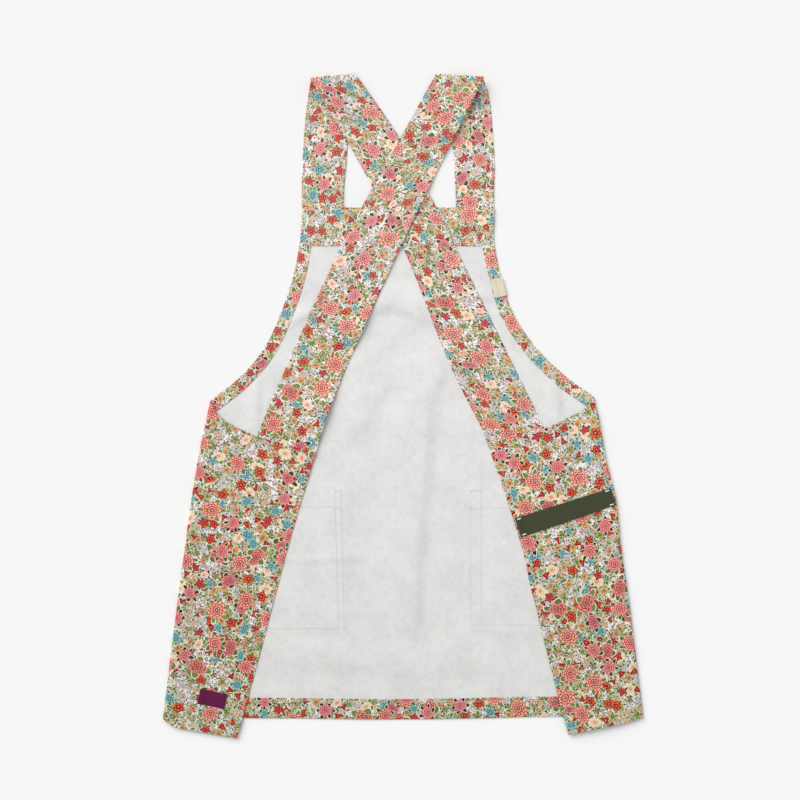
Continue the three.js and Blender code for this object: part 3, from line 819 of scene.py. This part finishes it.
def lawn_reverse():
    """The back of printed lawn: hardly any ink comes through, so it is a clouded white, with painted shade
    that greys it low down.
    """
    material, tree, place = new_material("unprinted_back_of_cotton_lawn")
    slubs = weave(tree, place, length=5, width=1.3)
    half = add_node(tree, "Math", {0: slubs, 1: 0.5}, operation="MULTIPLY")["Value"]
    colour = set_ramp(add_node(tree, "ValToRGB", {"Fac": half}), SLUBS)
    for cloud in CLOUDS:
        inputs = {"Vector": place, "Scale": cloud["scale"], "Detail": cloud["detail"]}
        blotch = add_node(tree, "TexNoise", inputs, noise_dimensions="2D")["Fac"]
        colour = tinted(tree, colour, blotch, cloud["tints"])
    # Painted shade: the reverse greys towards the hem, where the light falls off
    low = by_height(tree, REVERSE_PAINTED_SHADE_FROM, REVERSE_PAINTED_SHADE_TO)
    colour = tinted(tree, colour, low, [(0, "#FFFFFF"), (1, REVERSE_PAINTED_SHADE_TINT)])
    finish_material(tree, colour, roughness=0.9, sheen=0.1, height=slubs, relief=0.1)
    return material


def ribbed_cloth(name, dark, light, roughness, sheen, rib, relief):
    """A narrow woven cloth with ribs across it, rib mm apart."""
    material, tree, place = new_material(name)
    axes = add_node(tree, "SeparateXYZ", {"Vector": place})
    sweep = add_node(tree, "Math", {0: axes["X"], 1: TURN / (rib * MM)}, operation="MULTIPLY")["Value"]
    ribs = add_node(tree, "Math", {0: sweep}, operation="SINE")["Value"]
    yarns = streaks(tree, place, length=3, width=0.8, turn=0)
    height = add_node(tree, "Math", {0: ribs, 1: RIB_SHARE, 2: yarns}, operation="MULTIPLY_ADD")["Value"]
    colour = set_ramp(add_node(tree, "ValToRGB", {"Fac": yarns}), [(0.3, dark), (0.7, light)])
    finish_material(tree, colour, roughness, sheen, height, relief)
    return material


def thread(name, dark, light):
    """Spun sewing thread: matt, with the light and dark of its twist."""
    material, tree, place = new_material(name)
    twist = streaks(tree, place, length=0.5, width=0.15, turn=0.6)
    colour = set_ramp(add_node(tree, "ValToRGB", {"Fac": twist}), [(0.3, dark), (0.7, light)])
    finish_material(tree, colour, roughness=0.7, sheen=0.1, height=twist, relief=0.1)
    return material


PRINTED = printed_lawn()
REVERSE = lawn_reverse()
# Grosgrain tape, ribbed and dull: dark olive with a slight grey bloom
OLIVE = ribbed_cloth("grosgrain_woven_cotton_tape", "#3A3E2A", "#454933",
                     roughness=0.9, sheen=0.1, rib=1.1, relief=0.1)
# Satin-woven polyester: smoother than the cotton round it and without its bloom, so the purple stays deep
PURPLE = ribbed_cloth("satin_woven_polyester_label", "#500036", "#6A0449",
                      roughness=0.65, sheen=0.0, rib=0.8, relief=0.1)
# Plain-woven cotton tape: dry and creamy
CREAM = ribbed_cloth("plain_woven_cotton_tape", "#DBD2B8", "#EFE8D4",
                     roughness=0.9, sheen=0.1, rib=0.9, relief=0.2)
PALE_THREAD = thread("spun_polyester_thread_pale", "#E7CFC4", "#F6E6DD")
WHITE_THREAD = thread("spun_polyester_thread_white", "#DCDAD6", "#FAF9F6")
# White thread painted grey: painted shade of the grooves that the pocket stitches press into the cloth
GROOVE_SHADED_THREAD = thread("spun_polyester_thread_white_painted_groove_shade", "#CBC5BF", "#DDD9D5")
# Dark olive thread as painted shadow along the fold of the tape's turned ends
FOLD_SHADOW_THREAD = thread("dark_olive_thread_painted_fold_shadow", "#22251A", "#33372A")
PURPLE_THREAD = thread("spun_polyester_thread_purple", "#430A32", "#5E1648")


# Cloth

# How far the rim of a cloth bulges out, as a share of its thickness
RIM_BEAD = 0.45

# Each piece is cut from another place in the printed cloth, this far on from the one before, in mm
CUT_STEP = np.array([913, 377])

# The surface of each piece by name, for what is laid or sewn on it
surfaces = {}


def put(name, vertices, faces, cut, materials, face_materials):
    """Make an object from places in mm, with the flat cut as its UV map."""
    mesh = bpy.data.meshes.new(name)
    mesh.from_pydata((vertices * MM).tolist(), [], faces)
    layer = mesh.uv_layers.new(name="cut")
    corners = np.empty(len(mesh.loops), dtype=np.int32)
    mesh.loops.foreach_get("vertex_index", corners)
    layer.data.foreach_set("uv", (cut[corners] * MM).ravel())
    for material in materials:
        mesh.materials.append(material)
    mesh.polygons.foreach_set("material_index", face_materials)
    mesh.polygons.foreach_set("use_smooth", np.ones(len(faces), dtype=bool))
    piece = bpy.data.objects.new(name, mesh)
    bpy.context.scene.collection.objects.link(piece)
    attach(piece, "root")
    surfaces[name] = BVHTree.FromPolygons(vertices.tolist(), faces)
    return piece


def lay_cloth(node, grid, cut,
              materials=(PRINTED,), thickness=LAWN, made="cloth"):
    """A closed wall of cloth around a grid of places, in the place of a CAD node."""
    if np.cross(np.gradient(grid, axis=0), np.gradient(grid, axis=1))[..., 2].mean() < 0:
        grid = grid[:, ::-1]
        cut = cut[:, ::-1]
    rows, columns = grid.shape[:2]
    down = np.gradient(grid, axis=0)
    side = np.gradient(grid, axis=1)
    offset = unit(np.cross(down, side)).reshape(-1, 3) * thickness / 2
    down = unit(down)
    side = unit(side)
    outward = np.zeros_like(grid)
    outward[0] -= down[0]
    outward[-1] += down[-1]
    outward[:, 0] -= side[:, 0]
    outward[:, -1] += side[:, -1]

    at = np.arange(rows * columns).reshape(rows, columns)
    ring = np.concatenate([at[0], at[1:, -1], at[-1, -2::-1], at[-2:0:-1, 0]])
    flat = grid.reshape(-1, 3)
    push = unit(outward.reshape(-1, 3)[ring])
    vertices = np.vstack([flat + offset, flat - offset, flat[ring] + push * thickness * RIM_BEAD])
    quads = np.stack([at[:-1, :-1], at[1:, :-1], at[1:, 1:], at[:-1, 1:]], axis=-1).reshape(-1, 4)
    count = rows * columns
    following = np.roll(ring, -1)
    bead = 2 * count + np.arange(len(ring))
    next_bead = np.roll(bead, -1)
    upper_rim = np.stack([ring, following, next_bead, bead], axis=1)
    lower_rim = np.stack([bead, next_bead, following + count, ring + count], axis=1)
    faces = np.vstack([quads, upper_rim, lower_rim, quads[:, ::-1] + count])
    face_materials = np.zeros(len(faces), dtype=np.int32)
    face_materials[-len(quads):] = len(materials) - 1
    flat_cut = cut.reshape(-1, 2) + CUT_STEP * len(surfaces)
    all_cut = np.vstack([flat_cut, flat_cut, flat_cut[ring]])

    name = f"{node}_{made}"
    piece = put(name, vertices, faces.tolist(), all_cut, materials, face_materials)
    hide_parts(node)


def raised(plan, z):
    """A grid in plan with a height for each place."""
    return np.concatenate([plan, z[..., None]], axis=2)


def heights(plan, height):
    """A grid in plan with its heights from a function of the place."""
    return raised(plan, height(plan[..., 0], plan[..., 1]))


def drop(name, x, y, start=100):
    """Height of the top of a piece at a place, looking down from a start height."""
    hit = surfaces[name].ray_cast(Vector((x, y, start)), Vector((0, 0, -1)))[0]
    return hit.z if hit else None


def front_side(outline):
    """One side of the front, from the bib down the armhole and down just inside the rolled fold."""
    shift = -outline["side"] * (SIDE_ROLL + SIDE_CLEAR)
    armhole = list(outline["armhole"])
    armhole[-1] = (armhole[-1][0] + shift, armhole[-1][1])
    fold = [(x + shift, y) for x, y in outline["fold"]]
    upper = walk(armhole, shares(ARMHOLE_LENGTH, step=5))
    lower = walk(fold, shares(PANEL_LENGTH, step=5))
    return np.vstack([upper, lower[1:]])


def sagged(plan):
    """The hem and the cloth above it hang a little lower at the middle than at the ends."""
    x, y = plan[..., 0], plan[..., 1]
    sag = HEM_SAG * (1 - smooth(np.abs(x), 0, HEM_SAG_REACH)) * smooth(-y, -HEM_SAG_TOP, -HEM_TOP)
    return pairs(x, y - sag)


def lay_front():
    """The front, its pale reverse up, over the two pockets."""
    plan = sagged(between(front_side(LEFT), front_side(RIGHT), shares(FRONT_WIDTH, step=4.5)))
    lay_cloth("front_panel", heights(plan, front_height), plan, materials=(REVERSE, PRINTED))


def lay_pocket(pocket):
    """A patch pocket flat on the floor, under the front, with round corners at its bottom."""
    left, right, bottom, top = pocket_box(pocket)
    y = top - POCKET_DEPTH * shares(POCKET_DEPTH, step=4, edge=POCKET_MESH_EDGE)
    below = np.clip(bottom + POCKET_CORNER - y, 0, POCKET_CORNER)
    pull = POCKET_CORNER - np.sqrt(POCKET_CORNER ** 2 - below ** 2 * POCKET_CORNER_EASE)
    plan = between(pairs(left + pull, y), pairs(right - pull, y), shares(POCKET_WIDTH, step=6))
    grid = raised(plan, np.full(plan.shape[:2], FLOOR_LAYER))
    lay_cloth(pocket["name"], grid, plan, materials=(REVERSE, PRINTED))


def lay_bib_facing():
    """The facing along the top of the bib, from armhole to armhole."""
    y = BIB_TOP - BIB_FACING_DEPTH * shares(BIB_FACING_DEPTH, step=3.5)
    ends = []
    for outline in (LEFT, RIGHT):
        armhole = walk(outline["armhole"], np.linspace(0, BESIDE_FACING, SHORT_EDGE_POINTS))
        ends.append(pairs(np.interp(-y, -armhole[:, 1], armhole[:, 0]), y))
    plan = between(*ends, shares(BIB_RIGHT - BIB_LEFT, step=3.5))
    lay_cloth("bib_facing", heights(plan, bib_facing_height), plan)


def lay_armhole_facing(outline):
    """A strip along an armhole, its lower end on a slant so that it runs under the top of the back panel."""
    whole = walk(outline["armhole"], np.linspace(0, 1, EDGE_POINTS))
    length = line_reach(whole)[-1]
    start = (BIB_FACING_DEPTH + AIR) / length
    stop = 1 - ARMHOLE_FACING_END / length
    outer = along_line(whole, start + (stop - start) * shares(length * (stop - start), step=3.5))
    inner = inset(outer, -outline["side"] * ARMHOLE_FACING_WIDTH)
    inner[0, 1] = outer[0, 1]
    reach = line_reach(outer)
    slant = ARMHOLE_FACING_SLANT * (1 - smooth(reach[-1] - reach, 0, ARMHOLE_FACING_SLANT_REACH))
    inner = inner + unit(np.gradient(outer, axis=0)) * slant[:, None]
    across = shares(ARMHOLE_FACING_WIDTH, step=3)
    plan = between(outer, inner, across)
    strip = pairs(across[None, :] * ARMHOLE_FACING_WIDTH, reach[:, None])
    lay_cloth(f"armhole_facing_{outline['name']}", heights(plan, facing_height), strip)
    return outer, inner


def lay_hem():
    """The turned-up hem of the front."""
    left_x, left_y = LEFT["fold"][-1]
    right_x, right_y = RIGHT["fold"][-1]
    rise = HEM_DEPTH * (1 - shares(HEM_DEPTH, step=3))
    left = pairs(left_x + HEM_END, left_y + rise)
    right = pairs(right_x - HEM_END, right_y + rise)
    plan = sagged(between(left, right, shares(right_x - left_x - 2 * HEM_END, step=4)))
    lay_cloth("hem_band", heights(plan, facing_height), plan)


def lay_back(outline):
    """A back panel stretched between its four edges, with a rolled fold at its side and turned hems."""
    down = shares(PANEL_LENGTH, step=5)
    over = shares(PANEL_WIDTH, step=4.5)
    plan = between(walk(outline["fold"], down), walk(outline["inner"], down), over)
    top = walk(outline["top"], over) - plan[0]
    bottom = walk(outline["bottom"], over) - plan[-1]
    plan = plan + top[None] * (1 - down)[:, None, None] + bottom[None] * down[:, None, None]

    from_fold = np.linalg.norm(plan - plan[:, :1], axis=2)
    width = from_fold[:, -1:]
    x, y = plan[..., 0], plan[..., 1]
    crown = FLOOR_LAYER + 2 * SIDE_ROLL
    settled = smooth(from_fold, SIDE_ROLL, SIDE_LOFT_REACH)
    z = crown + (back_height(x, y) - crown) * settled
    free = smooth(from_fold / width, FREE_FROM, 1.0)
    z = z + free * outline["loose"] * ripples(x, y, "free_edge") * smooth(down, *LOOSE_FROM)[:, None]
    z = z + (1 - free) * ripples(x, y, "panel")
    at_top = (1 - smooth(down * PANEL_LENGTH, SEAM_NEAR, SEAM_REACH))[:, None]
    z = z + SEAM_RISE * at_top * smooth(from_fold, *SEAM_FROM_FOLD) + corner_lift(x, y)
    z = z + outline["bottom_lift"] * smooth(-y, *BOTTOM_LIFTS) * settled
    from_bottom = (1 - down)[:, None] * PANEL_LENGTH
    at_edge = 1 - smooth(width - from_fold, TURNED_EDGE, TURNED_EDGE + TURNED_STEP)
    at_bottom = 1 - smooth(from_bottom, TURNED_BOTTOM, TURNED_BOTTOM + TURNED_STEP)
    z = z + np.maximum(at_edge, at_bottom) * (TURNED_RISE + ripples(x, y, "turning"))

    inward = unit(plan[:, 3] - plan[:, 0])[:, None]
    angles = np.linspace(0, math.pi, SIDE_ROLL_STEPS)
    roll_plan = plan[:, :1] + inward * (SIDE_ROLL * (1 - np.sin(angles)))[None, :, None]
    roll_z = np.broadcast_to(FLOOR_LAYER + SIDE_ROLL * (1 - np.cos(angles)), roll_plan.shape[:2])
    roll_cut = plan[:, :1] + inward * (SIDE_ROLL - SIDE_ROLL * (math.pi - angles))[None, :, None]
    lying = from_fold[0] >= SIDE_ROLL
    grid = np.concatenate([raised(roll_plan, roll_z)[:, :-1], raised(plan, z)[:, lying]], axis=1)
    cut = np.concatenate([roll_cut[:, :-1], plan[:, lying]], axis=1)
    lay_cloth(f"back_panel_{outline['name']}", grid, cut)
    return plan


def lay_strap(strap):
    """A strap: a leg up from under the bib facing, a rolled shoulder fold and a diagonal down the back."""
    over = shares(STRAP_WIDTH, step=3.2)
    roll_outer, roll_inner = strap["roll"]
    rolls = roll_outer + (roll_inner - roll_outer) * over
    fold_line = unit(np.subtract(strap["leg_inner"][-1], strap["leg_outer"][-1]))
    beyond = np.array([-fold_line[1], fold_line[0]])
    if beyond[1] < 0:
        beyond = -beyond

    def stretched(part, fold_end, at):
        """A leg or diagonal between its edges, its end at the fold set back by the radius of the roll."""
        edges = []
        for side, roll in (("outer", roll_outer), ("inner", roll_inner)):
            points = [np.array(point, float) for point in strap[f"{part}_{side}"]]
            points[fold_end] = points[fold_end] - beyond * roll
            edges.append(walk(points, at))
        return between(*edges, over)

    up = shares(LEG_LENGTH, step=4)
    leg = stretched("leg", -1, up)
    x, y = leg[..., 0], leg[..., 1]
    tucked = front_height(x, y) + FLOOR_LAYER + AIR + STRAP_CLOTH / 2
    freed = smooth(y, BIB_TOP + LEAVES_BIB, BIB_TOP + REACHES_FLOOR)
    leg_z = tucked + (STRAP_CLOTH / 2 - tucked) * freed + freed * ripples(x, y, "leg")
    rise_outer, rise_inner = strap["rise"]
    near_fold = np.clip(1 - (1 - up) * LEG_LENGTH / strap["rise_reach"], 0, 1)
    leg_z = leg_z + near_fold[:, None] ** 2 * (rise_outer + (rise_inner - rise_outer) * over[None])

    down = shares(DIAGONAL_LENGTH, step=4)
    back = stretched("back", 0, down)
    x, y = back[..., 0], back[..., 1]
    crest = leg_z[-1] + 2 * rolls
    lying = strap_height(x, y) + strap["crossing"] * crossing_share(x, y)
    settles_outer, settles_inner = strap["settles"]
    settled = smooth(down[:, None], 0, settles_outer + (settles_inner - settles_outer) * over[None])
    back_z = crest[None] * (1 - settled) + lying * settled + settled * corner_lift(x, y)
    for lift in strap["lifts"]:
        swell = lift["height"] * (1 - smooth(np.abs(down - lift["at"]), 0, lift["reach"]))
        back_z = back_z + swell[:, None] * (SWELL_INNER + (1 - SWELL_INNER) * (1 - over)[None])
    free = smooth(-y, -CROSSING_END, -CROSSING_END + FREE_REACH) * smooth(1 - down, *SEWN_SHARES)[:, None]
    back_z = back_z + free * ripples(x, y, "diagonal")

    angles = np.linspace(0, math.pi, STRAP_ROLL_STEPS)[1:-1, None]
    roll = leg[-1][None] + beyond * (rolls * np.sin(angles))[..., None]
    roll_z = leg_z[-1] + rolls * (1 - np.cos(angles))
    grid = raised(np.concatenate([leg, roll, back]), np.concatenate([leg_z, roll_z, back_z]))
    widths = np.linalg.norm(grid[:, -1] - grid[:, 0], axis=1)
    along = line_reach(grid[:, grid.shape[1] // 2])
    cut = pairs((over[None, :] - 0.5) * widths[:, None], along[:, None])
    lay_cloth(strap["name"], grid, cut,
              thickness=STRAP_CLOTH)
    return leg, back


def trim_place(trim, along, up):
    """Places on a turned strip, from distances along and up from its middle."""
    angle = math.radians(trim["turn"])
    along = np.asarray(along)
    up = np.asarray(up) * (1 - trim["taper"] * along / trim["length"])
    x = trim["x"] + along * math.cos(angle) - up * math.sin(angle)
    y = trim["y"] + along * math.sin(angle) + up * math.cos(angle)
    return pairs(x, y)


def lay_trim(node, trim, under, material, thickness=TAPE_CLOTH, made="tape", bow=0):
    """A turned rectangle of tape or label that follows the cloth under it, with turned-under ends.

    Where it reaches past the edge of that cloth, it lies at the mean height of the rest.
    """
    lengths = (shares(trim["length"], step=2.5) - 0.5) * trim["length"]
    widths = (0.5 - shares(trim["width"], step=2)) * trim["width"]
    plan = trim_place(trim, lengths[None, :], widths[:, None])
    base = np.array([[drop(under, x, y) for x, y in row] for row in plan], dtype=float)
    base = np.where(np.isnan(base), np.nanmean(base), base)
    half = trim["length"] / 2
    turned = smooth(np.abs(lengths), half - TRIM_TURN_FROM, half - TRIM_TURN_TO)
    rise = turned * TRIM_TURN_RISE + bow * np.sin(math.pi * (lengths / trim["length"] + 0.5)) ** 2
    z = base + AIR + thickness / 2 + rise[None, :]
    cut = pairs(lengths[None, :], widths[:, None])
    lay_cloth(node, raised(plan, z), cut, (material,), thickness, made)


# Stitches

# A stitch rises by a share of its width, dips by a share of that rise at its ends, and is at its full
# thickness between two shares of its length
STITCH_LENGTH = 2.6
STITCH_GAP = 0.9
STITCH_WIDTH = 0.6
STITCH_RISE = 0.55
STITCH_DIP = 0.5
STITCH_FULL = (0.2, 0.8)
STITCH_CUT_STEP = 0.1

# Distances of stitch lines from the edges beside them
STRAP_SEAM = 3
PANEL_TOP_SEAM = 4
FACING_SEAM = 2
HEM_SEAM = 2.5
LABEL_SEAM = 1.2

# A back panel's bottom and top stitches begin this many columns of its mesh in from the side fold
BOTTOM_SEAM_START = 4
TOP_SEAM_START = 10

# The tacks of the towel loop, and the dark lines across it that are painted shadow where its turned ends
# lift, from its ends and its sides
TACK_HALF = 4
TACK_FROM_END = 5
TACK_FROM_SIDE = 2
END_FOLD_SHADOWS = (8, 7)
END_FOLD_SHADOW_FROM_SIDE = 4


def beside(edge, inside, distance):
    """A line a distance in from an edge, on the side where another line lies."""
    return edge + unit(inside - edge) * distance


def both_edges(grid, distance):
    """Lines along the first and last columns of a grid, a distance in from them."""
    return [beside(grid[:, 0], grid[:, -1], distance), beside(grid[:, -1], grid[:, 0], distance)]


def sew(name, runs, under, material, start=100, length=STITCH_LENGTH, width=STITCH_WIDTH):
    """Stitches along lines in plan: each is a small twist of thread that dips into the cloth at its ends."""
    vertices, faces, cut = [], [], []
    pitch = length + STITCH_GAP
    rise = np.array([0, 0, width * STITCH_RISE])
    for run in runs:
        line = np.asarray(run, float)
        count = max(1, round(line_reach(line)[-1] / pitch))
        starts = (np.arange(count) + 0.5 - 0.5 * length / pitch) / count
        ends = starts + length / pitch / count
        for (x0, y0), (x1, y1) in zip(along_line(line, starts), along_line(line, ends)):
            z0 = drop(under, x0, y0, start)
            z1 = drop(under, x1, y1, start)
            if z0 is None or z1 is None:
                continue
            tail = np.array([x0, y0, z0])
            head = np.array([x1, y1, z1])
            side = np.array([y0 - y1, x1 - x0, 0]) / np.hypot(x1 - x0, y1 - y0) * width / 2
            first = len(vertices)
            vertices.append(tail - rise * STITCH_DIP)
            for share in STITCH_FULL:
                spot = tail + (head - tail) * share
                vertices += [spot + side, spot + rise, spot - side, spot - rise]
            vertices.append(head - rise * STITCH_DIP)
            last = len(vertices) - 1
            for k in range(4):
                a = first + 1 + k
                b = first + 1 + (k + 1) % 4
                faces += [(first, b, a), (a, b, b + 4, a + 4), (last, a + 4, b + 4)]
            for k, place in enumerate(vertices[first:]):
                along = (place - tail)[:2] @ (head - tail)[:2] / length
                cut.append((along, k * STITCH_CUT_STEP))
    one_material = np.zeros(len(faces), np.int32)
    put(name, np.array(vertices), faces, np.array(cut), [material], one_material)


# The apron, from the floor up

for pocket in POCKETS:
    lay_pocket(pocket)
lay_front()
lay_bib_facing()
armhole_edges = {outline["name"]: lay_armhole_facing(outline) for outline in (LEFT, RIGHT)}
lay_hem()
backs = {outline["name"]: lay_back(outline) for outline in (LEFT, RIGHT)}
straps = {strap["name"]: lay_strap(strap) for strap in (LEFT_STRAP, RIGHT_STRAP)}
lay_trim("towel_loop", TOWEL_LOOP, "back_panel_right_cloth", OLIVE, bow=TOWEL_LOOP_BOW)
lay_trim("woven_label", WOVEN_LABEL, "back_panel_left_cloth", PURPLE,
         thickness=LAWN, made="satin")
lay_trim("side_tab", SIDE_TAB, "armhole_facing_right_cloth", CREAM)

# The legs are looked at from below the diagonals that lie over them
UNDER_DIAGONALS = 4
for name, (leg, back) in straps.items():
    runs = both_edges(leg[leg[:, 0, 1] > BIB_TOP + 1], STRAP_SEAM)
    sew(f"{name}_leg_stitches", runs, f"{name}_cloth", PALE_THREAD, start=UNDER_DIAGONALS)
    sew(f"{name}_back_stitches", both_edges(back, STRAP_SEAM), f"{name}_cloth", PALE_THREAD)

for name, plan in backs.items():
    runs = [
        beside(plan[:, -1], plan[:, -2], TURNED_EDGE),
        beside(plan[-1, BOTTOM_SEAM_START:], plan[-2, BOTTOM_SEAM_START:], TURNED_BOTTOM),
        beside(plan[0, TOP_SEAM_START:], plan[1, TOP_SEAM_START:], PANEL_TOP_SEAM),
    ]
    sew(f"back_panel_{name}_stitches", runs, f"back_panel_{name}_cloth", PALE_THREAD)
    outer, inner = armhole_edges[name]
    runs = both_edges(np.stack([inner, outer], axis=1), FACING_SEAM)
    sew(f"armhole_facing_{name}_stitches", runs, f"armhole_facing_{name}_cloth", PALE_THREAD)

# Rows along the lower and the upper edge of the bib facing, and one along the hem
facing_row = BIB_TOP - BIB_FACING_DEPTH + HEM_SEAM
runs = [
    [(-139, facing_row), (122, facing_row)],
    [(-134, BIB_TOP - STRAP_SEAM), (122, BIB_TOP - STRAP_SEAM)],
]
sew("bib_facing_stitches", runs, "bib_facing_cloth", PALE_THREAD)
hem_ends = [np.array([[x, HEM_TOP - HEM_SEAM]]) for x in (-316, 316)]
hem_line = sagged(between(*hem_ends, np.linspace(0, 1, SHORT_EDGE_POINTS)))
sew("hem_stitches", hem_line, "hem_band_cloth", PALE_THREAD)

# Pocket seams that show through on the reverse: lines down, the pocket hem, its corner box and its bottom
runs = [
    [(-93, -115), (-88, -303)],
    [(-84, -115), (-80, -303)],
    [(-93, -115), (-84, -115)],
    [(-93, -117), (-84, -117)],
    [(-93, -140), (-84, -140)],
    [(-150, -138), (-84, -138)],
    [(-190, -303), (-80, -303)],
    [(91, -115), (92, -298)],
    [(106, -115), (107, -298)],
    [(91, -115), (106, -115)],
    [(91, -117), (106, -117)],
    [(91, -141), (106, -141)],
    [(91, -139), (160, -139)],
    [(92, -298), (190, -299)],
]
# Their thread is painted grey, as the shade in the grooves of the stitches
sew("pocket_stitches", runs, "front_panel_cloth", GROOVE_SHADED_THREAD, width=0.8)

# The tape's turned ends are held by a short white bar tack at each corner; a row of dark olive stitches
# across each end is painted shadow where the turned end lifts off
half_length = TOWEL_LOOP["length"] / 2
half_width = TOWEL_LOOP["width"] / 2
runs = [trim_place(TOWEL_LOOP, (along - TACK_HALF, along + TACK_HALF), (up, up))
        for along in (TACK_FROM_END - half_length, half_length - TACK_FROM_END)
        for up in (TACK_FROM_SIDE - half_width, half_width - TACK_FROM_SIDE)]
sew("towel_loop_bar_tacks", runs, "towel_loop_tape", WHITE_THREAD, length=7.5, width=2.0)
fold_shadow_ups = (END_FOLD_SHADOW_FROM_SIDE - half_width, half_width - END_FOLD_SHADOW_FROM_SIDE)
runs = [trim_place(TOWEL_LOOP, (along, along), fold_shadow_ups)
        for along in (END_FOLD_SHADOWS[0] - half_length, half_length - END_FOLD_SHADOWS[1])]
sew("towel_loop_end_fold_shadows", runs, "towel_loop_tape", FOLD_SHADOW_THREAD)

# The label is sewn down all round
alongs = (LABEL_SEAM - WOVEN_LABEL["length"] / 2, WOVEN_LABEL["length"] / 2 - LABEL_SEAM)
ups = (LABEL_SEAM - WOVEN_LABEL["width"] / 2, WOVEN_LABEL["width"] / 2 - LABEL_SEAM)
runs = [trim_place(WOVEN_LABEL, alongs, (up, up)) for up in ups]
runs += [trim_place(WOVEN_LABEL, (along, along), ups) for along in alongs]
sew("woven_label_stitches", runs, "woven_label_satin", PURPLE_THREAD)


# Floor, light and camera

FLOOR_HALF = 15000
FLOOR_GAP = 0.2
PAPER_GRAIN = 2.5


def floor_paper():
    """Matt white paper: an even pale ground that only shows soft shadows."""
    material, tree, _ = new_material("matt_white_paper")
    spot = add_node(tree, "NewGeometry")["Position"]
    inputs = {"Vector": spot, "Scale": 1 / (PAPER_GRAIN * MM), "Detail": 2.0}
    grain = add_node(tree, "TexNoise", inputs)["Fac"]
    colour = set_ramp(add_node(tree, "ValToRGB", {"Fac": grain}), [(0.3, "#F7F7F7"), (0.7, "#F9F9F9")])
    finish_material(tree, colour, roughness=0.95, sheen=0.0, height=grain, relief=0.02)
    return material


corners = np.array([(-1, -1, 0), (1, -1, 0), (1, 1, 0), (-1, 1, 0)], float) * FLOOR_HALF * MM
corners[:, 2] = -FLOOR_GAP * MM
floor_mesh = bpy.data.meshes.new("floor")
floor_mesh.from_pydata(corners.tolist(), [], [(0, 1, 2, 3)])
floor_mesh.materials.append(floor_paper())
floor = bpy.data.objects.new("floor", floor_mesh)
bpy.context.scene.collection.objects.link(floor)

world = bpy.data.worlds.new("studio")
world.use_nodes = True
world.node_tree.nodes["Background"].inputs["Color"].default_value = (1.0, 1.0, 1.0, 1.0)
world.node_tree.nodes["Background"].inputs["Strength"].default_value = 0.56
bpy.context.scene.world = world

# A broad soft key light from the upper left, with the white world to fill its shadows
key_light = bpy.data.lights.new("soft_key", "SUN")
key_light.energy = 2.3
key_light.angle = math.radians(45)
key = bpy.data.objects.new("soft_key", key_light)
key.rotation_euler = Vector((-0.6, 0.75, 0.7)).to_track_quat("Z", "Y").to_euler()
bpy.context.scene.collection.objects.link(key)

# The camera looks straight down, from high enough for the whole apron
camera_data = bpy.data.cameras.new("camera")
camera_data.sensor_width = 36
camera_data.lens = 85
camera = bpy.data.objects.new("camera", camera_data)
camera.location = (-0.00408, 0.00748, 2.569)
bpy.context.scene.collection.objects.link(camera)
bpy.context.scene.camera = camera
bpy.context.scene.view_settings.view_transform = "Standard"
